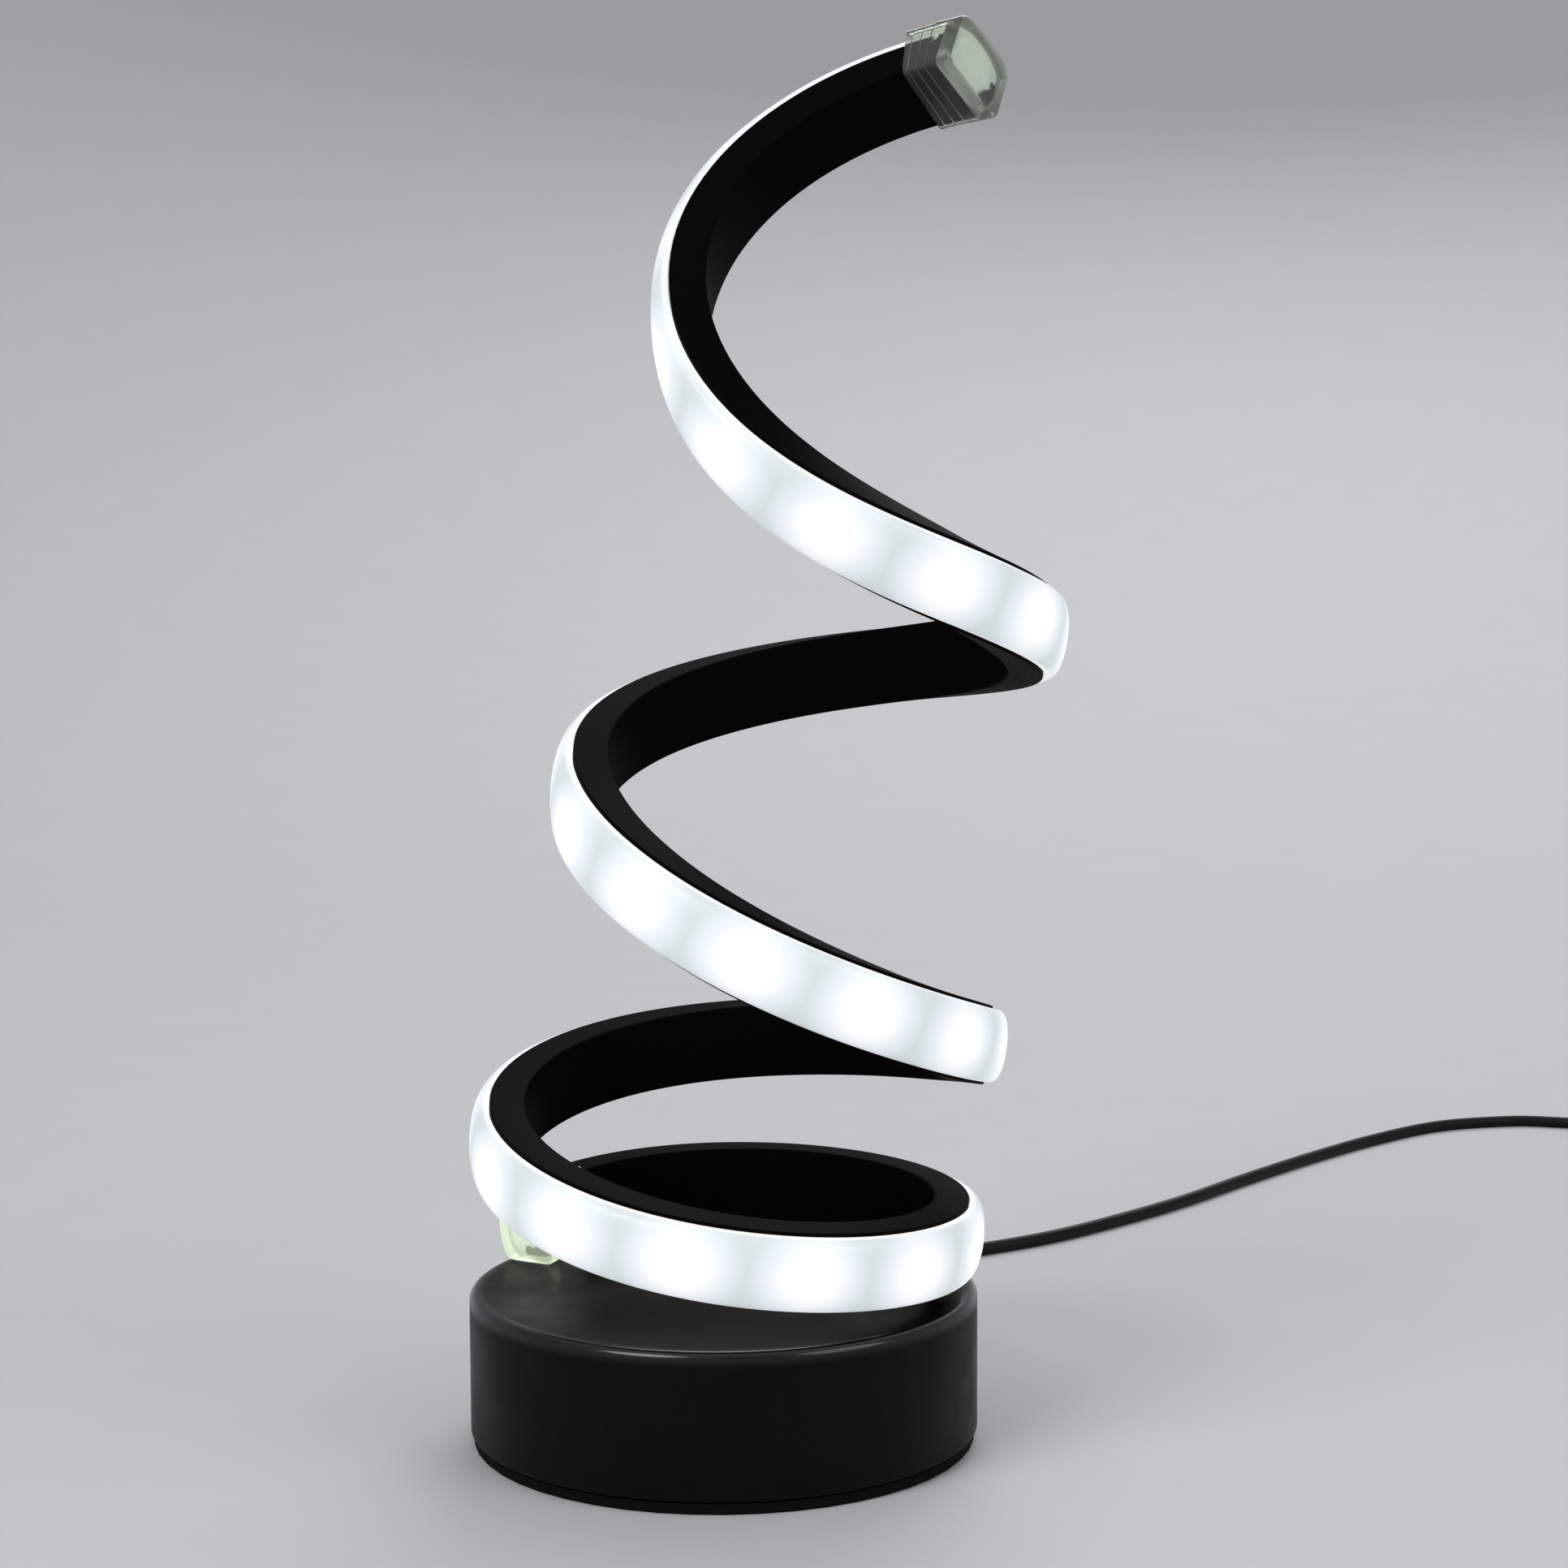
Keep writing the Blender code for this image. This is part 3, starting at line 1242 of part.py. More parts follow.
def switch_screw_places():
    x = SWITCH_LENGTH / 2 - SWITCH_SHOULDER - SWITCH_SCREW_INSET
    return [Vector((x, SWITCH_SCREW_SIDE, 0)), Vector((-x, -SWITCH_SCREW_SIDE, 0))]


def build_switch(parts, cutters, plastic, steel, brass):
    floor = SWITCH_WALL
    joint = SWITCH_LOWER_HEIGHT
    ceiling = SWITCH_HEIGHT - SWITCH_WALL
    lower = build_switch_half(
        "switch_lower_half", 0, joint, floor, joint + OVERRUN, parts, cutters, plastic
    )
    upper = build_switch_half(
        "switch_upper_half", joint + GAP, SWITCH_HEIGHT, joint - OVERRUN, ceiling, parts, cutters, plastic
    )
    x, y = rocker_window()
    window = flat_solid(
        "rocker_window",
        [(x, y), (-x, y), (-x, -y), (x, -y)],
        joint - OVERRUN,
        SWITCH_HEIGHT + OVERRUN,
        cutters,
    )
    cut(upper, hide_cutter(window))
    pin_reach = ROCKER_WIDTH / 2 + SWITCH_WALL
    start = Vector((0, -pin_reach - GAP, PIVOT_HEIGHT))
    end = Vector((0, pin_reach + GAP, PIVOT_HEIGHT))
    cut(upper, cylinder_cutter("pivot_socket", PIVOT_RADIUS + GAP, start, end, cutters, SMALL_SIDES))
    for k, place in enumerate(switch_screw_places()):
        low = place + Vector((0, 0, -OVERRUN))
        recess = place + Vector((0, 0, SWITCH_SCREW_HEAD_HEIGHT + GAP * 2))
        through = place + Vector((0, 0, joint + OVERRUN))
        blind = place + Vector((0, 0, ceiling))
        bore = SWITCH_SCREW_RADIUS + GAP
        head = SWITCH_SCREW_HEAD_RADIUS + GAP
        cut(lower, cylinder_cutter(f"switch_recess_{k}", head, low, recess, cutters))
        cut(lower, cylinder_cutter(f"switch_hole_{k}", bore, low, through, cutters, SMALL_SIDES))
        base = place + Vector((0, 0, joint - OVERRUN))
        cut(upper, cylinder_cutter(f"switch_thread_{k}", bore, base, blind, cutters, SMALL_SIDES))
    frame = switch_frame()
    move_together(frame, [lower, upper], cutters, ("switch_", "rocker_", "pivot_"))
    build_rocker(frame, parts, cutters, plastic)
    profile = rod_points(PIVOT_RADIUS, -pin_reach, pin_reach)
    pin = turned("rocker_pin", profile, parts, steel, SMALL_SIDES)
    pivot = Matrix.Translation((0, 0, PIVOT_HEIGHT))
    pin.matrix_world = frame @ pivot @ Matrix.Rotation(math.pi / 2, 4, "X")
    build_switch_screws(frame, ceiling, parts, steel)
    build_contacts(frame, floor, parts, brass)


def build_rocker(frame, parts, cutters, plastic):
    """The rocker, tipped to one stop, with its origin on its pivot."""
    width = ROCKER_WIDTH / 2
    rocker = flat_solid("switch_rocker", rocker_side(), -width, width, parts, plastic)
    rocker.data.transform(Matrix.Rotation(math.pi / 2, 4, "X") @ rocker.matrix_world)
    rocker.matrix_world = Matrix.Identity(4)
    bevel(rocker, SWITCH_EDGE / 2)
    start = Vector((0, -width - OVERRUN, 0))
    end = Vector((0, width + OVERRUN, 0))
    bore = cylinder_cutter("rocker_bore", PIVOT_RADIUS + GAP, start, end, cutters, SMALL_SIDES)
    cut(rocker, bore)
    place = frame @ Matrix.Translation((0, 0, PIVOT_HEIGHT)) @ Matrix.Rotation(ROCKER_TILT, 4, "Y")
    rocker.matrix_world = place
    bore.matrix_world = place


def build_switch_screws(frame, ceiling, parts, steel):
    head_low = GAP
    head_high = head_low + SWITCH_SCREW_HEAD_HEIGHT
    tip = ceiling - GAP
    profile = [
        (0, tip),
        (SWITCH_SCREW_RADIUS, tip),
        (SWITCH_SCREW_RADIUS, head_high),
        (SWITCH_SCREW_HEAD_RADIUS, head_high),
        (SWITCH_SCREW_HEAD_RADIUS, head_low),
        (0, head_low),
    ]
    screw = settle(turned("screw", profile, parts, segments=SMALL_SIDES), parts)
    places = [frame @ Matrix.Translation(place) for place in switch_screw_places()]
    copies("switch_screw", screw, places, parts, steel)


def build_contacts(frame, floor, parts, brass):
    size = (CONTACT_LENGTH, CONTACT_WIDTH, CONTACT_THICKNESS)
    pattern = block("contact", size, (0, 0, CONTACT_THICKNESS / 2), parts)
    x = SWITCH_LENGTH / 2 - SWITCH_SHOULDER - SWITCH_WALL - CONTACT_LENGTH
    places = [frame @ Matrix.Translation((side * x, 0, floor + GAP)) for side in (-1, 1)]
    copies("switch_contact", pattern, places, parts, brass)


# The plug


def plug_frame():
    x = COIL_CENTRE[0] + COIL_OUTER
    turn = Matrix.Rotation(-math.pi / 2, 4, "Z")
    return Matrix.Translation((x, PLUG_CENTRE_Y, PLUG_HEIGHT)) @ turn


def build_plug(parts, cutters, plastic, steel, white, brass):
    frame = plug_frame()
    half = PLUG_BODY_LENGTH / 2
    body = block(
        "plug_body", (PLUG_BODY_LENGTH, PLUG_BODY_WIDTH, PLUG_BODY_HEIGHT), (0, 0, 0), parts, plastic
    )
    bevel(body, PLUG_EDGE)
    tail = turned(
        "plug_tail",
        [
            (0, half + PLUG_TAIL_LENGTH),
            (PLUG_TAIL_END_RADIUS, half + PLUG_TAIL_LENGTH),
            (PLUG_TAIL_RADIUS, half - OVERRUN),
            (0, half - OVERRUN),
        ],
        cutters,
        segments=SMALL_SIDES,
    )
    tail.rotation_euler = (0, -math.pi / 2, 0)
    cut(body, hide_cutter(tail), "UNION")
    start = Vector((-half - PLUG_TAIL_LENGTH / 2 + GAP, 0, 0))
    end = Vector((-half - PLUG_TAIL_LENGTH - OVERRUN, 0, 0))
    cut(body, cylinder_cutter("plug_bore", CORD_RADIUS + GAP, start, end, cutters, SMALL_SIDES))
    shell_start = half - PLUG_SHELL_ROOT
    shell_end = half + PLUG_SHELL_LENGTH
    shell_middle = (shell_start + shell_end) / 2
    shell_size = (shell_end - shell_start, PLUG_SHELL_WIDTH, PLUG_SHELL_HEIGHT)
    socket_size = tuple(length + 2 * GAP for length in shell_size)
    socket = block("plug_socket", socket_size, (shell_middle, 0, 0), cutters)
    cut(body, hide_cutter(socket))
    shell = block("plug_shell", shell_size, (shell_middle, 0, 0), parts, steel)
    wall = PLUG_SHELL_WALL
    hollow_size = (
        shell_size[0] + 2 * OVERRUN,
        PLUG_SHELL_WIDTH - 2 * wall,
        PLUG_SHELL_HEIGHT - 2 * wall,
    )
    hollow = block("plug_hollow", hollow_size, (shell_middle, 0, 0), cutters)
    cut(shell, hide_cutter(hollow))
    tongue_width = PLUG_SHELL_WIDTH - 2 * (wall + GAP)
    tongue_top = PLUG_SHELL_HEIGHT / 2 - wall - GAP
    tongue_length = shell_end - shell_start - 2 * GAP
    tongue_low = tongue_top - PLUG_TONGUE_THICKNESS
    tongue = block(
        "plug_tongue",
        (tongue_length, tongue_width, PLUG_TONGUE_THICKNESS),
        (shell_middle, 0, tongue_top - PLUG_TONGUE_THICKNESS / 2),
        parts,
        white,
    )
    contact_size = (PLUG_CONTACT_LENGTH, PLUG_CONTACT_WIDTH, PLUG_CONTACT_THICKNESS)
    contact = block("plug_contact", contact_size, (0, 0, 0), parts)
    first = -(PLUG_CONTACT_COUNT - 1) / 2
    contact_x = shell_end - PLUG_CONTACT_LENGTH / 2 - PLUG_CONTACT_WIDTH
    contact_z = tongue_low - GAP - PLUG_CONTACT_THICKNESS / 2
    places = []
    for k in range(PLUG_CONTACT_COUNT):
        y = PLUG_CONTACT_PITCH * (first + k)
        places.append(frame @ Matrix.Translation((contact_x, y, contact_z)))
    copies("plug_contact", contact, places, parts, brass)
    move_together(frame, [body, shell, tongue], cutters, ("plug_",))


def main():
    clear_scene()
    parts = new_collection("spiral_led_lamp")
    cutters = new_collection("cutters")
    black = material("satin_black_paint", (0.012, 0.012, 0.013), 0.42)
    channel_black = material("channel_black", (0.010, 0.010, 0.010), 0.5)
    opal = material("opal", (0.93, 0.96, 1.0), 0.35)
    clear = material("clear_plastic", (0.86, 0.92, 0.88), 0.12, alpha=0.35)
    steel = material("zinc_steel", (0.55, 0.55, 0.54), 0.35, metallic=1.0)
    iron = material("cast_iron", (0.10, 0.10, 0.10), 0.7, metallic=0.8)
    rubber = material("black_rubber", (0.015, 0.015, 0.015), 0.8)
    jacket = material("cord_jacket", (0.015, 0.015, 0.015), 0.5)
    plastic = material("black_plastic", (0.02, 0.02, 0.02), 0.35)
    white = material("white_plastic", (0.85, 0.85, 0.83), 0.4)
    brass = material("brass", (0.75, 0.55, 0.25), 0.3, metallic=1.0)
    red = material("red_insulation", (0.55, 0.02, 0.02), 0.4)
    build_cover(parts, cutters, black)
    build_base_plate(parts, cutters, steel)
    build_weight(parts, cutters, iron)
    build_foot(parts, cutters, rubber)
    build_base_screws(parts, steel)
    build_channel(parts, cutters, channel_black)
    run("opal_diffuser", diffuser_outline(), parts, opal)
    build_tape(parts, cutters, white)
    build_cap("end_cap_lower", True, parts, cutters, clear)
    build_cap("end_cap_upper", False, parts, cutters, clear)
    build_strip_screws(parts, steel)
    build_spacers(parts, plastic)
    build_grommet(parts, rubber)
    build_bushing(parts, rubber)
    build_stop_ring(parts, plastic)
    build_cords(parts, jacket)
    build_tie(parts, rubber)
    build_inner_wires(parts, red, plastic, rubber)
    build_switch(parts, cutters, plastic, steel, brass)
    build_plug(parts, cutters, plastic, steel, white, brass)
    for item in parts.objects:
        if item.type == "MESH":
            smooth(item)
    cutters.hide_render = True


main()
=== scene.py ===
"""Surfaces, finishes and studio for a spiral table lamp with an opal light strip.

Lengths are in metres, +Z is up and the lamp faces -Y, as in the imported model.
"""

import math

import bmesh
import bpy
import numpy as np
from mathutils import Matrix, Vector


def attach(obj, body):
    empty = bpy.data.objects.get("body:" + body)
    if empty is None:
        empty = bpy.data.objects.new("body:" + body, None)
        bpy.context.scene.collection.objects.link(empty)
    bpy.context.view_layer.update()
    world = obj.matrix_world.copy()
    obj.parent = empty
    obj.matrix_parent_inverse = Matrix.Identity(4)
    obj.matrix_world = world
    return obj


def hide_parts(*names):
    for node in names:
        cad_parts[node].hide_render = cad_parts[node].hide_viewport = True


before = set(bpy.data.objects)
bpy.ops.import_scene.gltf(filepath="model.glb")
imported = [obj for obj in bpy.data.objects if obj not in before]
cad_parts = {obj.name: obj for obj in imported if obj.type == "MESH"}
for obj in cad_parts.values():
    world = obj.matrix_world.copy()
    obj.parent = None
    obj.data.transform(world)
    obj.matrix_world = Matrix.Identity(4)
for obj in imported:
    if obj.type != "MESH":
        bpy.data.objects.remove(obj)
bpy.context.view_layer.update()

bl_info = {
    "name": "Spiral light strip lamp",
    "version": (1, 0, 0),
    "blender": (4, 5, 0),
    "location": "View3D > Sidebar > Lamp",
    "description": "Surfaces and finishes of a table lamp with a spiral light strip",
    "category": "Object",
}

MM = 0.001
GAP = 0.3 * MM  # left between pieces that touch
OPAL_INSET = 0.65 * MM  # of the opal cover's sides from the channel's

# The camera, from the photograph's vanishing lines
CAMERA_PLACE = (0.0, -650.5 * MM, 201.0 * MM)
CAMERA_PITCH = math.radians(-5.142)
CAMERA_YAW = math.radians(1.196)
CAMERA_ROLL = math.radians(-0.253)
CAMERA_LENS = 70.03
CAMERA_SENSOR = 36.0

# The spiral's course, as in the part's source
FINE_STEPS = 1200
SPIRAL_LIFT = 39.16 * MM  # of the strip's lower end above its own start height
RISE_SHARES = (0, 0.057, 0.041, 0.150, 0.240, 0.338, 0.539, 0.628, 0.865, 1)
RADIUS_SHARES = (0.981, 0.988, 1.013, 1.029, 0.994, 0.936, 0.873, 0.829, 0.795, 0.783)
LEAN_RIGHT_SHARES = (0, 0.21, 1, 0.90)
LEAN_FORWARD_SHARES = (0.05, 0.09, 0.02, 1)
TWIST_DEGREES = (-4.9, 5.0, -10.7, 3.7, 5.2, -15.2, -0.9, 8.5, -11.8, 28.0)

# The strip's inside and its clear caps; places on a cap are distances inwards from the strip's end
TAPE_DEPTH = 5.8 * MM
LIP = 0.5 * MM
LIP_DEPTH = 1.2 * MM
CAP_WALL = 0.9 * MM
CAP_OVERLAP = 11.0 * MM
CAP_END_WALL = 4.0 * MM
CAP_EDGE = 0.6 * MM
CAP_GROOVES = (3.0 * MM, 5.9 * MM, 8.7 * MM)
CAP_GROOVE_DEPTH = 0.3 * MM
CAP_GROOVE_HALF_WIDTH = 0.35 * MM
CAP_STEP = 0.15 * MM
CAP_FINE_STEPS = 11
CAP_FACE_STEPS = 26
DIMPLE_PLACE = 1.25 * MM
DIMPLE_DEPTH_PLACE = 2.5 * MM
DIMPLE_RADIUS = 1.1 * MM
DIMPLE_DEPTH = 0.4 * MM
TAPE_JOINT = (560 * MM, 700 * MM)  # stretch in which the glows move on

# The lead's course, as in the part's source
CORD_RADIUS = 1.75 * MM
CORD_DIAMETER = 2 * CORD_RADIUS
OUTLET_HEIGHT = 17.0 * MM
BUSHING_END = 76.8 * MM
CORD_INNER_END = 50.0 * MM
FLOOR_ROUTE_MM = (
    (7, 116),
    (22, 132),
    (48, 146),
    (71, 158.5),
    (90, 171),
    (110, 189),
    (132, 212),
    (155, 240),
    (180, 269),
    (206, 296),
    (231, 316),
    (255, 323),
    (268, 321.5),
    (283, 315),
)
LANDING_STEPS = ((1.0 * MM, 17.5 * MM, 0.71), (3.4 * MM, 29.8 * MM, 0.21))
SWITCH_CENTRE = (310.5 * MM, 276.0 * MM)
SWITCH_HEADING = math.radians(-65)
SWITCH_LENGTH = 50.0 * MM
SWITCH_WALL = 1.6 * MM
SWITCH_CORD_HEIGHT = 5.35 * MM
COIL_CENTRE = (295.0 * MM, 205.0 * MM)
COIL_TURNS = 7
COIL_LAYER_TURNS = COIL_TURNS / 2
COIL_MID_DIAMETER = 42.0 * MM
COIL_STEP = 4.0 * MM
COIL_LIFT = 0.9 * MM
COIL_POINTS_PER_TURN = 24
COIL_OUTER = COIL_MID_DIAMETER / 2 + COIL_LAYER_TURNS * COIL_STEP / 2
PLUG_TAIL_MIDDLE = 162.5 * MM
PLUG_HEIGHT = 3.8 * MM


# Sizes and colours that a user would change


def linear(code):
    """Turn an sRGB hex colour into linear red, green and blue."""
    values = np.array([int(code[k : k + 2], 16) for k in (1, 3, 5)]) / 255
    return tuple(np.where(values <= 0.04045, values / 12.92, ((values + 0.055) / 1.055) ** 2.4))


def length(name, description, default):
    """Setting for a length in metres."""
    return bpy.props.FloatProperty(
        name=name, description=description, default=default, subtype="DISTANCE", unit="LENGTH"
    )


def paint(name, description, code):
    """Setting for a colour, given as an sRGB hex code."""
    return bpy.props.FloatVectorProperty(
        name=name, description=description, default=linear(code), subtype="COLOR"
    )


class StripSizes(bpy.types.PropertyGroup):
    """Sizes of the channel and its opal cover."""

    turns: bpy.props.FloatProperty(name="Turns", description="Turns of the spiral", default=3.25)
    start_angle: bpy.props.FloatProperty(
        name="Start angle",
        description="Direction of the strip's lower end, seen from above",
        default=math.radians(150),
        subtype="ANGLE",
    )
    radius: length("Radius", "Radius that the radius shares multiply", 52 * MM)
    rise: length("Rise", "Height between the strip's two ends", 233.9 * MM)
    lean_right: length("Lean to the right", "How far the axis moves to the right", 34 * MM)
    lean_forward: length("Lean forward", "How far the axis moves to the front", 48.5 * MM)
    width: length("Width", "Width of the strip", 16.8 * MM)
    depth: length("Depth", "Depth of the channel", 7.8 * MM)
    wall: length("Wall", "Thickness of the channel's walls", 1.2 * MM)
    corner: length("Corner", "Rounding of the channel's back edges", 0.5 * MM)
    bulge: length("Bulge", "How far the opal cover stands out of the channel", 3.7 * MM)
    stations: bpy.props.IntProperty(
        name="Stations", description="Sections in each turn of the strip", default=96, min=24
    )


class BaseSizes(bpy.types.PropertyGroup):
    """Sizes of the round base."""

    radius: length("Radius", "Radius of the drum", 55 * MM)
    top: length("Top", "Height of the drum's top", 33.5 * MM)
    bottom: length("Bottom", "Height of the drum's lower edge", 2.7 * MM)
    wall: length("Wall", "Thickness of the drum's wall", 1.2 * MM)
    top_round: length("Top rounding", "Rounding of the drum's top edge", 1.8 * MM)
    lower_round: length("Lower rounding", "Rounding of the drum's lower edge", 1.0 * MM)
    sides: bpy.props.IntProperty(name="Sides", description="Faces round the drum", default=192, min=48)


class LightLook(bpy.types.PropertyGroup):
    """How the lit strip looks through its opal cover."""

    pitch: length("Pitch", "Distance between neighbouring light points", 22.5 * MM)
    first: length("First", "Distance from the tape's lower end to the first light point", 21 * MM)
    shift: length(
        "Shift", "How much further on the glows of the top turn sit, past the joint in the tape", 6.3 * MM
    )
    core: length("Core", "Radius of the evenly white middle of a glow", 4.2 * MM)
    reach: length("Reach", "Distance over which a glow fades out in the cover", 12 * MM)
    seam: paint("Seam colour", "Light that leaks out along the cover's edges", "#D3D0CE")
    hot: paint("Hot colour", "Light over a light point", "#DEDFDF")
    halo: paint("Halo colour", "Light in the soft ring round a light point", "#C0C6CC")
    between: paint("Colour between", "Light midway between two light points", "#ACB3B3")


class Finishes(bpy.types.PropertyGroup):
    """Main colours of the lamp."""

    coat: paint("Base coat", "Powder coat of the drum", "#0A0A0B")
    channel: paint("Channel", "Black anodising", "#060606")
    opal: paint("Opal cover", "Opal cover in daylight", "#9FA3A6")
    clear: paint("End caps", "Tint of the clear caps", "#C4CCBE")
    jacket: paint("Lead", "Jacket of the lead", "#0C0C0D")


# Meshes


def surface(name, grid, finish, round_closed=False, end_faces=False, attributes=None, angle=30):
    """Mesh over a grid of points, with a quad between four neighbours; its doubles are merged."""
    rows, columns = grid.shape[:2]
    index = np.arange(rows * columns).reshape(rows, columns)
    if round_closed:
        index = np.concatenate((index, index[:, :1]), axis=1)
    corners = (index[:-1, :-1], index[:-1, 1:], index[1:, 1:], index[1:, :-1])
    faces = np.stack(corners, axis=-1).reshape(-1, 4).tolist()
    if end_faces:
        faces += [index[0, :columns].tolist(), index[-1, :columns].tolist()]
    mesh = bpy.data.meshes.new(name)
    mesh.from_pydata(grid.reshape(-1, 3), [], faces)
    for key, values in (attributes or {}).items():
        layer = mesh.attributes.new(key, "FLOAT", "POINT")
        layer.data.foreach_set("value", np.ravel(values).astype(np.float32))
    bm = bmesh.new()
    bm.from_mesh(mesh)
    bmesh.ops.remove_doubles(bm, verts=bm.verts, dist=MM / 1000)
    bmesh.ops.recalc_face_normals(bm, faces=bm.faces)
    bm.to_mesh(mesh)
    bm.free()
    mesh.shade_smooth()
    mesh.set_sharp_from_angle(angle=math.radians(angle))
    mesh.materials.append(finish)
    piece = bpy.data.objects.new(name, mesh)
    bpy.context.scene.collection.objects.link(piece)
    return piece


def turned(profile, sides):
    """Points of a profile turned about Z: P(u, v) = (r(v) cos u, r(v) sin u, h(v))."""
    angle = np.linspace(0, math.tau, sides, endpoint=False)
    radius, height = np.array(profile, dtype=float).T
    x = radius[:, None] * np.cos(angle)
    y = radius[:, None] * np.sin(angle)
    return np.stack([x, y, np.broadcast_to(height[:, None], x.shape)], axis=-1)


def fillet(centre, radius, start, stop, steps=8):
    """Points of an arc in the plane of a profile, from one angle in degrees to another."""
    angle = np.radians(np.linspace(start, stop, steps + 1))
    return np.stack([centre[0] + radius * np.cos(angle), centre[1] + radius * np.sin(angle)], axis=1).tolist()


def stands_for(piece, slot, *nodes, body="lamp"):
    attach(piece, body)
    if nodes:
        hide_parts(*nodes)
    return piece


# Smooth curves


def blend_weights(part):
    """Weights of a uniform cubic B-spline at a place between two of its shares."""
    return (
        (1 - part) ** 3 / 6,
        (3 * part**3 - 6 * part**2 + 4) / 6,
        (-3 * part**3 + 3 * part**2 + 3 * part + 1) / 6,
        part**3 / 6,
    )


def slope_weights(part):
    return (
        -((1 - part) ** 2) / 2,
        (3 * part**2 - 4 * part) / 2,
        (-3 * part**2 + 2 * part + 1) / 2,
        part**2 / 2,
    )


def even_curve(shares, along, slope=False):
    """Read a smooth curve, from its first to its last share, at places from 0 to 1 along it."""
    values = np.array(shares, dtype=float)
    padded = np.concatenate(([2 * values[0] - values[1]], values, [2 * values[-1] - values[-2]]))
    spans = len(values) - 1
    place = np.clip(along, 0, 1) * spans
    index = np.minimum(place.astype(int), spans - 1)
    weights = slope_weights(place - index) if slope else blend_weights(place - index)
    total = sum(weight * padded[index + k] for k, weight in enumerate(weights))
    return total * spans if slope else total


def unit(vectors):
    return vectors / np.linalg.norm(vectors, axis=-1, keepdims=True)


def distances(points):
    steps = np.linalg.norm(np.diff(points, axis=0), axis=1)
    return np.concatenate(([0], np.cumsum(steps)))


def smooth_route(points, spacing):
    """Evenly spaced points of a Catmull-Rom curve that runs through the given ones."""
    knots = np.array(points, dtype=float)
    ends = np.concatenate(([2 * knots[0] - knots[1]], knots, [2 * knots[-1] - knots[-2]]))
    before, start, end, after = (ends[k : len(ends) - 3 + k, None] for k in range(4))
    part = np.linspace(0, 1, 16, endpoint=False)[None, :, None]
    dense = (
        start
        + (end - before) * part / 2
        + (before - 2.5 * start + 2 * end - after / 2) * part**2
        + (1.5 * (start - end) + (after - before) / 2) * part**3
    )
    dense = np.concatenate((dense.reshape(-1, 3), knots[-1:]))
    reached = distances(dense)
    wanted = np.linspace(0, reached[-1], max(2, round(reached[-1] / spacing) + 1))
    return np.stack([np.interp(wanted, reached, dense[:, k]) for k in range(3)], axis=1)


# The strip's course


def spiral_points(sizes, along):
    """Points on the strip's outer middle line, and directions out from the leaning axis.

    P(t) = axis(t) + R(t) (cos a across + sin a away), with a falling evenly as t rises.
    """
    risen = np.clip(even_curve(RISE_SHARES, along), 0, 1)
    angle = sizes.start_angle - math.tau * sizes.turns * along
    radius = sizes.radius * even_curve(RADIUS_SHARES, along)
    right = sizes.lean_right * even_curve(LEAN_RIGHT_SHARES, risen)
    forward = sizes.lean_forward * even_curve(LEAN_FORWARD_SHARES, risen)
    right_slope = sizes.lean_right * even_curve(LEAN_RIGHT_SHARES, risen, slope=True) / sizes.rise
    forward_slope = sizes.lean_forward * even_curve(LEAN_FORWARD_SHARES, risen, slope=True) / sizes.rise
    axis = unit(np.stack([right_slope, -forward_slope, np.ones_like(risen)], axis=1))
    sideways = np.array((1.0, 0.0, 0.0))
    across = unit(sideways - axis * (axis @ sideways)[:, None])
    away = np.cross(axis, across)
    outward = np.cos(angle)[:, None] * across + np.sin(angle)[:, None] * away
    centre = np.stack([right, -forward, sizes.rise * risen + SPIRAL_LIFT], axis=1)
    return centre + radius[:, None] * outward, outward


def strip_frames(sizes, along):
    """Point, direction outwards and direction up the strip at each place, straight on past its ends."""
    step = 1 / FINE_STEPS
    inside = np.clip(along, 0, 1)
    point, outward = spiral_points(sizes, inside)
    ahead = spiral_points(sizes, np.minimum(inside + step, 1))[0]
    behind = spiral_points(sizes, np.maximum(inside - step, 0))[0]
    forward = unit(ahead - behind)
    outward = unit(outward - forward * np.sum(outward * forward, axis=1)[:, None])
    upward = np.cross(forward, outward)
    twist = np.radians(even_curve(TWIST_DEGREES, inside))[:, None]
    out = np.cos(twist) * outward + np.sin(twist) * upward
    up = np.cos(twist) * upward - np.sin(twist) * outward
    beyond = (along - inside)[:, None] * strip_length(sizes)
    return point + forward * beyond, out, up


def strip_length(sizes):
    return float(distances(spiral_points(sizes, np.linspace(0, 1, FINE_STEPS))[0])[-1])


def swept(sizes, along, outlines):
    """Sections carried along the strip: P(t, s) = point(t) + depth(s) out(t) + width(s) up(t)."""
    point, out, up = strip_frames(sizes, np.asarray(along, dtype=float))
    outlines = np.broadcast_to(outlines, (len(point), *np.shape(outlines)[-2:]))
    depth = outlines[:, :, 0, None]
    width = outlines[:, :, 1, None]
    return point[:, None] + depth * out[:, None] + width * up[:, None]


def strip_places(sizes):
    return np.linspace(0, 1, round(sizes.turns * sizes.stations) + 1)


def bulge_line(half_width, height, steps=20):
    """The opal cover's outer line: depth = h |cos a| ^ 0.6, width = w sin a."""
    angle = np.linspace(math.pi / 2, -math.pi / 2, steps + 1)
    depth = height * np.abs(np.cos(angle)) ** 0.6
    depth[[0, -1]] = 0
    return np.stack([depth, half_width * np.sin(angle)], axis=1)


# Finishes


def add_node(tree, kind, settings=None, links=None):
    """Add a node, with its attributes and input values set and its inputs linked."""
    node = tree.nodes.new(kind)
    for key, value in (settings or {}).items():
        if isinstance(key, str) and hasattr(node, key):
            setattr(node, key, value)
        else:
            node.inputs[key].default_value = value
    for key, socket in (links or {}).items():
        tree.links.new(socket, node.inputs[key])
    return node


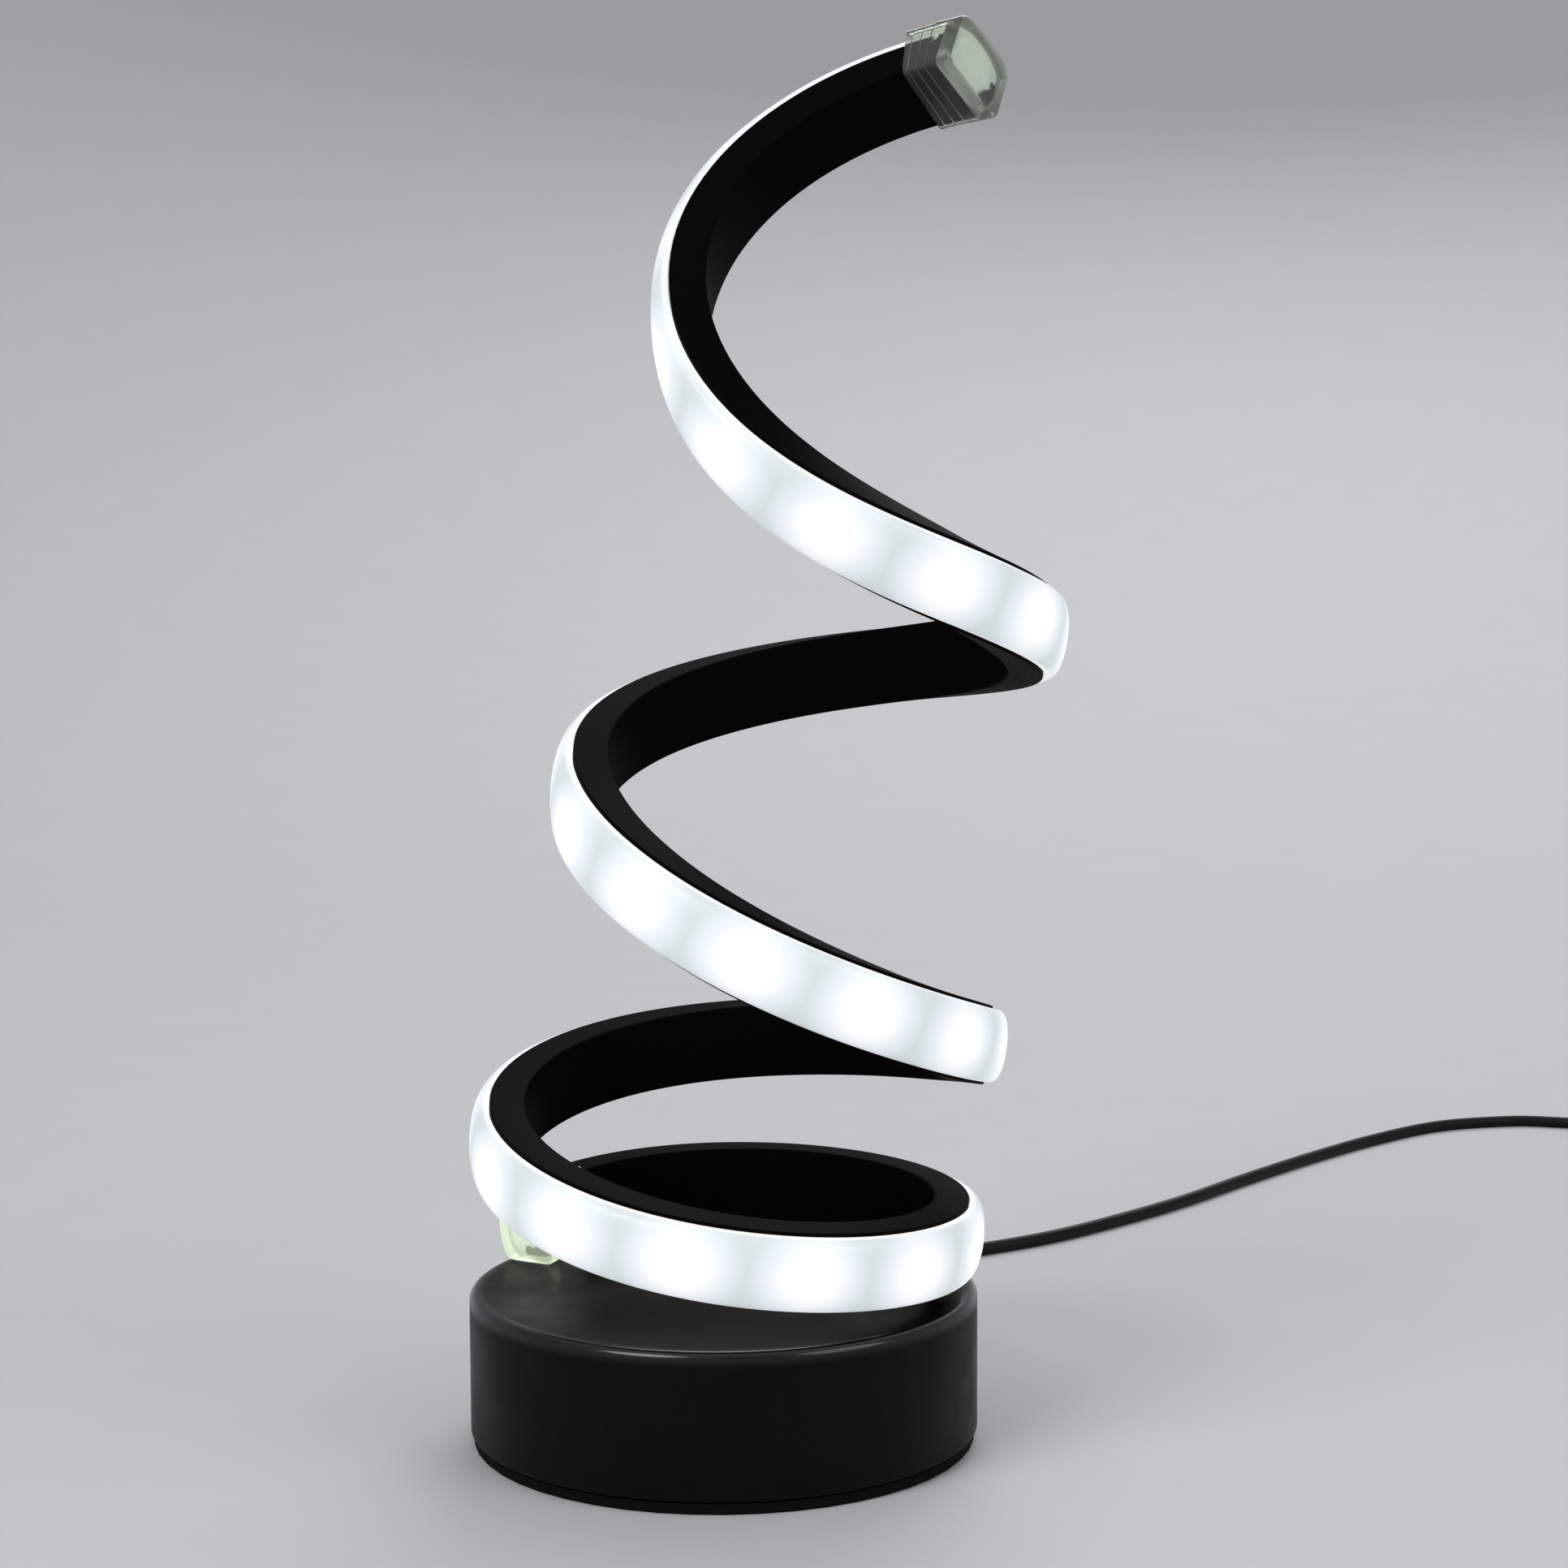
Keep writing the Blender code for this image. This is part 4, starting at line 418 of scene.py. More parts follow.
def new_finish(name, colour, roughness, **sockets):
    finish = bpy.data.materials.get(name) or bpy.data.materials.new(name)
    finish.use_nodes = True
    tree = finish.node_tree
    tree.nodes.clear()
    settings = {"Base Color": (*colour, 1.0), "Roughness": roughness}
    settings.update({key.replace("_", " "): value for key, value in sockets.items()})
    shader = add_node(tree, "ShaderNodeBsdfPrincipled", settings)
    add_node(tree, "ShaderNodeOutputMaterial", links={"Surface": shader.outputs["BSDF"]})
    return finish, tree, shader


def add_grain(tree, shader, grain_size, grain_depth, colour, variation=0.15, roughness=None):
    """Give a surface a fine relief, and let its colour and gloss vary a little over larger patches."""
    place = add_node(tree, "ShaderNodeTexCoord").outputs["Object"]
    fine = add_node(
        tree, "ShaderNodeTexNoise", {"Scale": 1 / grain_size, "Detail": 3.0}, {"Vector": place}
    )
    bump = add_node(
        tree, "ShaderNodeBump", {"Strength": 0.6, "Distance": grain_depth}, {"Height": fine.outputs[0]}
    )
    tree.links.new(bump.outputs["Normal"], shader.inputs["Normal"])
    patches = add_node(
        tree, "ShaderNodeTexNoise", {"Scale": 1 / (grain_size * 40), "Detail": 4.0}, {"Vector": place}
    )
    shades = [tuple(min(1, value * factor) for value in colour) for factor in (1 - variation, 1 + variation)]
    tint = add_node(
        tree,
        "ShaderNodeMix",
        {"data_type": "RGBA", 6: (*shades[0], 1), 7: (*shades[1], 1)},
        {0: patches.outputs[0]},
    )
    tree.links.new(tint.outputs[2], shader.inputs["Base Color"])
    if roughness:
        gloss = add_node(
            tree,
            "ShaderNodeMapRange",
            {"From Min": 0.35, "From Max": 0.65, "To Min": roughness[0], "To Max": roughness[1]},
            {"Value": patches.outputs[0]},
        )
        tree.links.new(gloss.outputs[0], shader.inputs["Roughness"])


def powder_coat(colour):
    """Satin powder coat on pressed steel: near black and finely grained, glossier along the rubbed rim."""
    finish, tree, shader = new_finish("satin_powder_coat", colour, 0.42, Specular_IOR_Level=0.07)
    add_grain(tree, shader, 0.35 * MM, 0.05 * MM, colour, roughness=(0.36, 0.48))
    rim = add_node(tree, "ShaderNodeAttribute", {"attribute_name": "rim_share"}).outputs["Fac"]
    rubbed = add_node(tree, "ShaderNodeMath", {"operation": "MULTIPLY", 1: 0.9}, {0: rim})
    tree.links.new(rubbed.outputs[0], shader.inputs["Coat Weight"])
    shader.inputs["Coat Roughness"].default_value = 0.16
    return finish


def black_anodised(colour):
    """Black anodised aluminium: matt, deep black, with faint lines from the die along the strip."""
    finish, tree, shader = new_finish("black_anodised_aluminium", colour, 0.5, Specular_IOR_Level=0.01)
    across = add_node(tree, "ShaderNodeAttribute", {"attribute_name": "section_distance"}).outputs["Fac"]
    lines = add_node(
        tree,
        "ShaderNodeTexNoise",
        {"noise_dimensions": "1D", "Scale": 1 / (0.45 * MM), "Detail": 3.0},
        {"W": across},
    )
    place = add_node(tree, "ShaderNodeTexCoord").outputs["Object"]
    etch = add_node(tree, "ShaderNodeTexNoise", {"Scale": 1 / (0.3 * MM), "Detail": 2.0}, {"Vector": place})
    relief = add_node(
        tree,
        "ShaderNodeMath",
        {"operation": "MULTIPLY_ADD", 1: 0.6},
        {0: lines.outputs[0], 2: etch.outputs[0]},
    )
    bump = add_node(
        tree, "ShaderNodeBump", {"Strength": 0.5, "Distance": 0.02 * MM}, {"Height": relief.outputs[0]}
    )
    tree.links.new(bump.outputs["Normal"], shader.inputs["Normal"])
    gloss = add_node(
        tree, "ShaderNodeMapRange", {"To Min": 0.44, "To Max": 0.62}, {"Value": lines.outputs[0]}
    )
    tree.links.new(gloss.outputs[0], shader.inputs["Roughness"])
    tint = add_node(
        tree,
        "ShaderNodeMix",
        {"data_type": "RGBA", 6: (*colour, 1), 7: (*(value * 1.6 for value in colour), 1)},
        {0: etch.outputs[0]},
    )
    tree.links.new(tint.outputs[2], shader.inputs["Base Color"])
    return finish


def clear_plastic(name, colour, glow=0.0):
    """Moulded clear plastic: greyish green and softly blurred; a glow above nothing is painted light, an
    emission standing in for the strip's light that shines through it.
    """
    finish, tree, shader = new_finish(
        name, colour, 0.16, Transmission_Weight=0.96, IOR=1.41, Specular_IOR_Level=0.4
    )
    # painted glow: a greenish emission on the clear plastic, standing in for the strip's light seen through
    # it
    shader.inputs["Emission Color"].default_value = (*linear("#B9C2AC"), 1)
    shader.inputs["Emission Strength"].default_value = glow
    place = add_node(tree, "ShaderNodeTexCoord").outputs["Object"]
    flow = add_node(tree, "ShaderNodeTexNoise", {"Scale": 1 / (2.5 * MM), "Detail": 2.0}, {"Vector": place})
    bump = add_node(
        tree, "ShaderNodeBump", {"Strength": 0.4, "Distance": 0.03 * MM}, {"Height": flow.outputs[0]}
    )
    tree.links.new(bump.outputs["Normal"], shader.inputs["Normal"])
    gloss = add_node(
        tree, "ShaderNodeMapRange", {"To Min": 0.1, "To Max": 0.24}, {"Value": flow.outputs[0]}
    )
    tree.links.new(gloss.outputs[0], shader.inputs["Roughness"])
    return finish


def fading(tree, distance, full, gone):
    """Smooth fall from one at a distance to nothing at a greater one."""
    return add_node(
        tree,
        "ShaderNodeMapRange",
        {
            "interpolation_type": "SMOOTHSTEP",
            "From Min": full,
            "From Max": gone,
            "To Min": 1.0,
            "To Max": 0.0,
        },
        {"Value": distance},
    )


def lit_opal(colour, light, half_width):
    """Frosted opal acrylic, lit from inside: white glows over the light points, cool grey between."""
    finish, tree, shader = new_finish("lit_opal_acrylic", colour, 0.38, Emission_Strength=1.0)
    along = add_node(tree, "ShaderNodeAttribute", {"attribute_name": "tape_distance"}).outputs["Fac"]
    across = add_node(tree, "ShaderNodeAttribute", {"attribute_name": "strip_width"}).outputs["Fac"]
    shift = add_node(
        tree,
        "ShaderNodeMapRange",
        {
            "interpolation_type": "SMOOTHSTEP",
            "From Min": TAPE_JOINT[0],
            "From Max": TAPE_JOINT[1],
            "To Min": light.first - light.pitch / 2,
            "To Max": light.first - light.pitch / 2 + light.shift,
        },
        {"Value": along},
    )
    steps = add_node(
        tree, "ShaderNodeMath", {"operation": "SUBTRACT"}, {0: along, 1: shift.outputs[0]}
    )
    share = add_node(
        tree, "ShaderNodeMath", {"operation": "DIVIDE", 1: light.pitch}, {0: steps.outputs[0]}
    )
    turn = add_node(tree, "ShaderNodeMath", {"operation": "FRACT"}, {0: share.outputs[0]})
    centred = add_node(tree, "ShaderNodeMath", {"operation": "SUBTRACT", 1: 0.5}, {0: turn.outputs[0]})
    away = add_node(
        tree, "ShaderNodeMath", {"operation": "MULTIPLY", 1: light.pitch}, {0: centred.outputs[0]}
    )
    place = add_node(tree, "ShaderNodeCombineXYZ", links={0: away.outputs[0], 1: across})
    reach = add_node(
        tree, "ShaderNodeVectorMath", {"operation": "LENGTH"}, {0: place.outputs[0]}
    ).outputs["Value"]
    soft_edge = (light.core + light.reach) / 2
    halo = fading(tree, reach, soft_edge, light.reach)
    glow = fading(tree, reach, light.core, soft_edge + 1 * MM)
    ring = add_node(
        tree,
        "ShaderNodeMix",
        {"data_type": "RGBA", 6: (*light.between, 1), 7: (*light.halo, 1)},
        {0: halo.outputs[0]},
    )
    blend = add_node(
        tree,
        "ShaderNodeMix",
        {"data_type": "RGBA", 7: (*light.hot, 1)},
        {0: glow.outputs[0], 6: ring.outputs[2]},
    )
    side = add_node(tree, "ShaderNodeMath", {"operation": "ABSOLUTE"}, {0: across})
    rim = add_node(
        tree,
        "ShaderNodeMapRange",
        {"interpolation_type": "SMOOTHSTEP", "From Min": half_width - 0.2 * MM, "From Max": half_width},
        {"Value": side.outputs[0]},
    )
    edged = add_node(
        tree,
        "ShaderNodeMix",
        {"data_type": "RGBA", 7: (*light.seam, 1)},
        {0: rim.outputs[0], 6: blend.outputs[2]},
    )
    tree.links.new(edged.outputs[2], shader.inputs["Emission Color"])
    frost = add_node(tree, "ShaderNodeTexCoord").outputs["Object"]
    grain = add_node(tree, "ShaderNodeTexNoise", {"Scale": 1 / (0.6 * MM), "Detail": 2.0}, {"Vector": frost})
    bump = add_node(
        tree, "ShaderNodeBump", {"Strength": 0.3, "Distance": 0.01 * MM}, {"Height": grain.outputs[0]}
    )
    tree.links.new(bump.outputs["Normal"], shader.inputs["Normal"])
    return finish


def pvc_jacket(colour):
    """Extruded PVC: satin black, with a faint orange-peel skin."""
    finish, tree, shader = new_finish("pvc_jacket", colour, 0.45, Specular_IOR_Level=0.15)
    add_grain(tree, shader, 0.8 * MM, 0.03 * MM, colour, roughness=(0.38, 0.52))
    return finish


def moulded_black():
    """Moulded ABS: black, with a spark-eroded texture that breaks up its highlights."""
    colour = linear("#111112")
    finish, tree, shader = new_finish("moulded_black_abs", colour, 0.4, Specular_IOR_Level=0.2)
    add_grain(tree, shader, 0.4 * MM, 0.04 * MM, colour, roughness=(0.34, 0.46))
    return finish


def black_rubber():
    """Moulded rubber: matt, dusty black."""
    colour = linear("#0C0C0C")
    finish, tree, shader = new_finish("moulded_black_rubber", colour, 0.8, Specular_IOR_Level=0.06)
    add_grain(tree, shader, 0.6 * MM, 0.05 * MM, colour, variation=0.3, roughness=(0.72, 0.88))
    return finish


def zinc_plate():
    """Zinc-plated steel: bright, slightly blotched grey metal."""
    colour = linear("#B4B5B4")
    finish, tree, shader = new_finish("zinc_plated_steel", colour, 0.32, Metallic=1.0)
    add_grain(tree, shader, 0.3 * MM, 0.01 * MM, colour, roughness=(0.26, 0.4))
    return finish


def cast_iron():
    """Sand-cast iron: dark grey and grainy."""
    colour = linear("#4A4A49")
    finish, tree, shader = new_finish("sand_cast_iron", colour, 0.7, Metallic=0.8)
    add_grain(tree, shader, 0.9 * MM, 0.2 * MM, colour, variation=0.3, roughness=(0.6, 0.8))
    return finish


def brass_sheet():
    """Stamped brass: warm yellow metal with a soft sheen."""
    colour = linear("#C9A45A")
    finish, tree, shader = new_finish("stamped_brass", colour, 0.28, Metallic=1.0)
    add_grain(tree, shader, 0.3 * MM, 0.01 * MM, colour, roughness=(0.22, 0.36))
    return finish


def white_nylon():
    """Moulded nylon: milky white, slightly soft at its edges."""
    colour = linear("#E4E4E0")
    finish, tree, shader = new_finish("moulded_white_nylon", colour, 0.45)
    add_grain(tree, shader, 0.5 * MM, 0.02 * MM, colour, variation=0.05, roughness=(0.4, 0.52))
    return finish


def tape_circuit():
    """White solder mask on a flexible circuit: satin white with a faint weave."""
    colour = linear("#E8E9E6")
    finish, tree, shader = new_finish("white_solder_mask", colour, 0.5)
    add_grain(tree, shader, 0.4 * MM, 0.02 * MM, colour, variation=0.04, roughness=(0.42, 0.55))
    return finish


def red_insulation():
    """Extruded red PVC insulation: glossy, even red."""
    colour = linear("#A11513")
    finish, tree, shader = new_finish("red_wire_insulation", colour, 0.35)
    add_grain(tree, shader, 0.5 * MM, 0.01 * MM, colour, variation=0.08, roughness=(0.3, 0.42))
    return finish


# The lead


def switch_point(distance, height):
    return (
        SWITCH_CENTRE[0] + math.cos(SWITCH_HEADING) * distance,
        SWITCH_CENTRE[1] + math.sin(SWITCH_HEADING) * distance,
        height,
    )


def lamp_to_switch_route():
    end = -SWITCH_LENGTH / 2 + SWITCH_WALL
    drop = OUTLET_HEIGHT - CORD_RADIUS
    outlet = [(0, y, OUTLET_HEIGHT) for y in (CORD_INNER_END, 53.8 * MM, BUSHING_END)]
    outlet.append((0, BUSHING_END + CORD_DIAMETER, OUTLET_HEIGHT))
    landing = [(x, BUSHING_END + y, CORD_RADIUS + drop * share) for x, y, share in LANDING_STEPS]
    floor = [(x * MM, y * MM, CORD_RADIUS) for x, y in FLOOR_ROUTE_MM]
    arrival = [switch_point(end - CORD_DIAMETER, SWITCH_CORD_HEIGHT), switch_point(end, SWITCH_CORD_HEIGHT)]
    return outlet + landing + floor + arrival


def coil_points():
    """Two layers of loops: P(t) = centre + r(t) (cos, -sin)(2 pi t), r falling to the middle turn."""
    turn = np.arange(COIL_TURNS * COIL_POINTS_PER_TURN + 1) / COIL_POINTS_PER_TURN
    from_middle = np.abs(turn - COIL_LAYER_TURNS)
    radius = COIL_OUTER - COIL_STEP * (COIL_LAYER_TURNS - from_middle)
    climb = np.clip((turn - COIL_LAYER_TURNS) * 2 + 1 / 2, 0, 1)
    angle = -math.tau * turn
    x = COIL_CENTRE[0] + radius * np.cos(angle)
    y = COIL_CENTRE[1] + radius * np.sin(angle)
    return np.stack([x, y, COIL_LIFT + CORD_RADIUS + COIL_STEP * climb], axis=1)


def switch_to_coil_route(coil):
    start = SWITCH_LENGTH / 2 - SWITCH_WALL
    entry = coil[0] + np.array((0, CORD_DIAMETER + GAP, 0))
    return [
        switch_point(start, SWITCH_CORD_HEIGHT),
        switch_point(start + CORD_DIAMETER, SWITCH_CORD_HEIGHT),
        switch_point(start + CORD_DIAMETER * 4, COIL_LIFT + CORD_RADIUS),
        tuple(entry + np.array((0, CORD_DIAMETER * 3, 0))),
        tuple(entry + np.array((0, CORD_DIAMETER, 0))),
        tuple(entry),
    ]


def tail_route(coil):
    leave = coil[-1] - np.array((0, CORD_DIAMETER + GAP, 0))
    plug = np.array((leave[0], PLUG_TAIL_MIDDLE, PLUG_HEIGHT))
    middle = (leave + plug) / 2
    return [
        tuple(leave),
        tuple(leave - np.array((0, CORD_DIAMETER, 0))),
        (middle[0], middle[1], (leave[2] + PLUG_HEIGHT) / 2),
        tuple(plug + np.array((0, CORD_DIAMETER * 3, 0))),
        tuple(plug),
    ]


def lead_path():
    """The whole lead: along the floor, through the switch, round the coil and into the plug."""
    spacing = CORD_DIAMETER * 1.2
    coil = coil_points()
    lamp_side = smooth_route(lamp_to_switch_route(), spacing)
    middle = smooth_route(switch_to_coil_route(coil), spacing)
    tail = smooth_route(tail_route(coil), spacing)
    path = np.concatenate((lamp_side, middle, coil, tail))
    path[:, 2] = np.maximum(path[:, 2], CORD_RADIUS)
    return path


def tube(path, radius, sides=14):
    """Rings round a path: P(t, a) = path(t) + r (cos a side(t) + sin a rise(t)), with the least turning."""
    forward = unit(np.gradient(path, axis=0))
    side = np.zeros_like(path)
    side[0] = unit(np.cross(forward[0], (0.0, 0.0, 1.0)))
    for k in range(1, len(path)):
        carried = side[k - 1] - forward[k] * (side[k - 1] @ forward[k])
        side[k] = carried / np.linalg.norm(carried)
    rise = np.cross(side, forward)
    angle = np.linspace(0, math.tau, sides, endpoint=False)[None, :, None]
    return path[:, None] + radius * (np.cos(angle) * side[:, None] + np.sin(angle) * rise[:, None])


class LAMP_OT_stage(bpy.types.Operator):
    """Set up the camera, the floor, the lamps and the world"""

    bl_idname = "lamp.stage"
    bl_label = "Studio"

    def execute(self, context):
        scene = context.scene
        scene.view_settings.view_transform = "Standard"
        camera_data = bpy.data.cameras.new("camera")
        camera_data.lens = CAMERA_LENS
        camera_data.sensor_width = CAMERA_SENSOR
        camera_data.clip_start = 0.01
        camera_data.clip_end = 50
        camera = bpy.data.objects.new("camera", camera_data)
        scene.collection.objects.link(camera)
        camera.matrix_world = camera_matrix()
        scene.camera = camera
        self.floor()
        self.lights(scene)
        return {"FINISHED"}

    def floor(self):
        """A round sweep: flat out to its bend, then a quarter round up into a wall."""
        flat, bend, wall = 0.9, 2.2, 3.6
        profile = [(0, 0), (flat / 2, 0)] + fillet((flat, bend), bend, -90, 0, 32) + [(flat + bend, wall)]
        colour = linear("#C6C6C8")
        finish, tree, shader = new_finish("painted_sweep", colour, 0.75)
        add_grain(tree, shader, 0.8 * MM, 0.01 * MM, colour, variation=0.02)
        surface("floor", turned(profile, 96), finish, round_closed=True)

    def lights(self, scene):
        target = Vector((0.03, 0, 0.14))
        panels = (
            ("key", (-1.3, -1.5, 1.7), 1.4, 30),
            ("fill", (1.7, -1.1, 1.1), 1.6, 14),
            ("back", (0.4, 1.6, 1.5), 1.4, 14),
        )
        for name, place, size, power in panels:
            data = bpy.data.lights.new(name, "AREA")
            data.shape = "DISK"
            data.size = size
            data.energy = power
            item = bpy.data.objects.new(name, data)
            scene.collection.objects.link(item)
            item.location = place
            item.rotation_euler = (target - Vector(place)).to_track_quat("-Z", "Y").to_euler()
        world = scene.world or bpy.data.worlds.new("studio")
        scene.world = world
        world.use_nodes = True
        sky = world.node_tree.nodes["Background"]
        sky.inputs["Color"].default_value = (*linear("#F4F6F8"), 1)
        sky.inputs["Strength"].default_value = 0.55


def camera_matrix():
    """Camera turned by yaw, then pitch, then roll about its own line of sight."""
    aim = Vector(
        (
            math.sin(CAMERA_YAW) * math.cos(CAMERA_PITCH),
            math.cos(CAMERA_YAW) * math.cos(CAMERA_PITCH),
            math.sin(CAMERA_PITCH),
        )
    )
    right = Vector((math.cos(CAMERA_YAW), -math.sin(CAMERA_YAW), 0))
    upright = right.cross(aim)
    turned_right = right * math.cos(CAMERA_ROLL) + upright * math.sin(CAMERA_ROLL)
    turned_up = upright * math.cos(CAMERA_ROLL) - right * math.sin(CAMERA_ROLL)
    turn = Matrix((turned_right, turned_up, -aim)).transposed().to_4x4()
    return Matrix.Translation(CAMERA_PLACE) @ turn


class LAMP_OT_lead(bpy.types.Operator):
    """Make the lead, its strain relief and the band round its coil"""

    bl_idname = "lamp.lead"
    bl_label = "Lead"

    def execute(self, context):
        jacket = pvc_jacket(context.scene.lamp_finishes.jacket)
        rubber = black_rubber()
        path = lead_path()
        rings = tube(smooth_route(path, 1.4 * MM), CORD_RADIUS)
        lead = surface("lead", rings, jacket, round_closed=True, end_faces=True)
        nodes = ("cord_lamp_side", "cord_switch_to_coil", "cord_coil", "cord_tail")
        stands_for(lead, "cord_jacket", *nodes)
        stands_for(self.strain_relief(rubber), "rubber", "cord_bushing")
        tie = stands_for(self.tie(rubber), "rubber", "coil_tie")
        return {"FINISHED"}

    def strain_relief(self, rubber):
        """A turned bush with a tapering tail and three rings of grooves."""
        bore, neck, flange = CORD_RADIUS + GAP / 2, 3.2 * MM, 5.0 * MM
        outside = 55.3 * MM
        shoulder = outside + 1.5 * MM
        inside = 53.2 * MM
        profile = [(bore, inside - 1.5 * MM), (flange, inside - 1.5 * MM), (flange, inside), (neck, inside)]
        profile += [(neck, outside), (flange - GAP, outside)]
        profile += fillet((flange - 0.5 * MM, shoulder - 0.5 * MM), 0.5 * MM, 0, 90, 4)
        place = np.linspace(0, 1, 81)
        to_groove = np.abs(place[:, None] - np.array([0.25, 0.5, 0.75])).min(axis=1)
        groove = 0.5 * MM * np.clip(1 - to_groove / 0.04, 0, 1) ** 0.7
        radius = 3.8 * MM - 1.1 * MM * place - groove
        profile += np.stack([radius, shoulder + (BUSHING_END - shoulder) * place], axis=1).tolist()
        profile += [(bore, BUSHING_END)]
        grid = turned(profile + profile[:1], 32)
        grid = np.stack([grid[..., 0], grid[..., 2], OUTLET_HEIGHT - grid[..., 1]], axis=-1)
        return surface("strain_relief", grid, rubber, round_closed=True, angle=40)

    def tie(self, rubber):
        """A flat band carried round a rounded rectangle."""
        low = COIL_LIFT - GAP
        high = COIL_LIFT + COIL_STEP + CORD_DIAMETER + GAP
        half = COIL_LAYER_TURNS * COIL_STEP / 2 + CORD_RADIUS + GAP
        thick, width, bend = 0.6 * MM, 5.0 * MM, 1.2 * MM
        centre_x = COIL_CENTRE[0] - COIL_MID_DIAMETER / 2
        loop = []
        for x, z, start in ((half, high, 0), (-half, high, 90), (-half, low, 180), (half, low, 270)):
            middle = (x - math.copysign(bend, x), z - (bend if z == high else -bend))
            loop.append((middle, start))
        lines = []
        for radius in (bend, bend + thick):
            arcs = [fillet(middle, radius, start, start + 90, 5) for middle, start in loop]
            lines.append(np.concatenate(arcs))
        inner, outer = lines
        rows = []
        for side, line in ((-1, inner), (-1, outer), (1, outer), (1, inner), (-1, inner)):
            y = np.full(len(line), COIL_CENTRE[1] + side * width / 2)
            rows.append(np.stack([centre_x + line[:, 0], y, line[:, 1]], axis=1))
        return surface("coil_band", np.array(rows), rubber, round_closed=True)


class LAMP_OT_base(bpy.types.Operator):
    """Make the drum of the base"""

    bl_idname = "lamp.base"
    bl_label = "Base"

    def execute(self, context):
        sizes = context.scene.lamp_base
        coat = powder_coat(context.scene.lamp_finishes.coat)
        top, radius, bend, low_bend = sizes.top, sizes.radius, sizes.top_round, sizes.lower_round
        inner = radius - sizes.wall
        ceiling = top - sizes.wall
        profile = [(0, top), (radius - bend - 4 * MM, top), (radius - bend * 1.8, top)]
        profile += fillet((radius - bend, top - bend), bend, 90, 0, 12)
        profile += [(radius, top - bend * 1.8), (radius, top - bend * 4)]
        profile += fillet((radius - low_bend, sizes.bottom + low_bend), low_bend, 0, -90, 6)
        profile += [(inner, sizes.bottom), (inner, ceiling), (0, ceiling)]
        rounding = (radius - bend * (1 - math.cos(math.pi / 4)), top - bend * (1 - math.sin(math.pi / 4)))
        to_rim = np.linalg.norm(np.array(profile) - rounding, axis=1)
        grid = turned(profile, sizes.sides)
        share = np.broadcast_to(np.clip(1.2 - to_rim / bend, 0, 1)[:, None], grid.shape[:2])
        drum = surface("base_drum", grid, coat, round_closed=True, attributes={"rim_share": share})
        stands_for(drum, "base_paint", "base_cover")
        return {"FINISHED"}


class LAMP_OT_channel(bpy.types.Operator):
    """Make the black channel that winds up into the spiral"""

    bl_idname = "lamp.channel"
    bl_label = "Channel"

    def execute(self, context):
        sizes = context.scene.lamp_strip
        finish = black_anodised(context.scene.lamp_finishes.channel)
        outline = channel_outline(sizes)
        grid = swept(sizes, strip_places(sizes), outline)
        round_section = np.broadcast_to(distances(outline), grid.shape[:2])
        channel = surface(
            "channel_run",
            grid,
            finish,
            round_closed=True,
            end_faces=True,
            attributes={"section_distance": round_section},
            angle=35,
        )
        stands_for(channel, "channel_black", "spiral_channel")
        return {"FINISHED"}


def channel_outline(sizes):
    """The channel's section: a C with rounded back edges, and a small lip at each side of its mouth."""
    side = sizes.width / 2
    inner = side - sizes.wall
    back = -sizes.depth
    bevel = GAP / 2
    half = [(-GAP, side - bevel), (-GAP - bevel, side)]
    half += fillet((back + sizes.corner, side - sizes.corner), sizes.corner, 90, 180, 5)
    inside = [
        (back + sizes.wall, inner),
        (-GAP - LIP_DEPTH, inner),
        (-GAP - LIP_DEPTH, inner - LIP),
        (-GAP, inner - LIP),
    ]
    outline = half + [(depth, -width) for depth, width in reversed(half)]
    outline += [(depth, -width) for depth, width in reversed(inside)] + inside
    return np.array(outline)


class LAMP_OT_diffuser(bpy.types.Operator):
    """Make the opal cover that snaps into the channel's mouth"""

    bl_idname = "lamp.diffuser"
    bl_label = "Opal cover"

    def execute(self, context):
        sizes = context.scene.lamp_strip
        half_width = sizes.width / 2 - OPAL_INSET
        finish = lit_opal(context.scene.lamp_finishes.opal, context.scene.lamp_light, half_width)
        outline = self.outline(sizes)
        along = strip_places(sizes)
        grid = swept(sizes, along, outline)
        tape = swept(sizes, along, np.array([(-TAPE_DEPTH, 0)]))[:, 0]
        attributes = {
            "tape_distance": np.broadcast_to(distances(tape)[:, None], grid.shape[:2]),
            "strip_width": np.broadcast_to(outline[None, :, 1], grid.shape[:2]),
        }
        cover = surface(
            "opal_cover", grid, finish, round_closed=True, end_faces=True, attributes=attributes, angle=50
        )
        stands_for(cover, "opal", "opal_diffuser")
        return {"FINISHED"}

    def outline(self, sizes):
        """The cover's section: a squarish bulge outside, two legs with hooks inside."""
        hold = sizes.width / 2 - sizes.wall - LIP - GAP
        hook = -(LIP_DEPTH + 2 * GAP)
        foot = hook - 0.9 * MM
        leg = 1.0 * MM
        lower_leg = [
            (0, -hold),
            (hook, -hold),
            (hook, -hold - LIP),
            (foot, -hold + LIP),
            (foot, -hold + leg),
            (0, -hold + leg),
        ]
        crown = sizes.bulge - 1.3 * MM
        ceiling = bulge_line(hold - 1.4 * leg, crown, 8)[::-1].tolist()[1:-1]
        upper_leg = [(depth, -width) for depth, width in reversed(lower_leg)]
        outer = bulge_line(sizes.width / 2 - OPAL_INSET, sizes.bulge).tolist()
        return np.array(outer + lower_leg + ceiling + upper_leg)


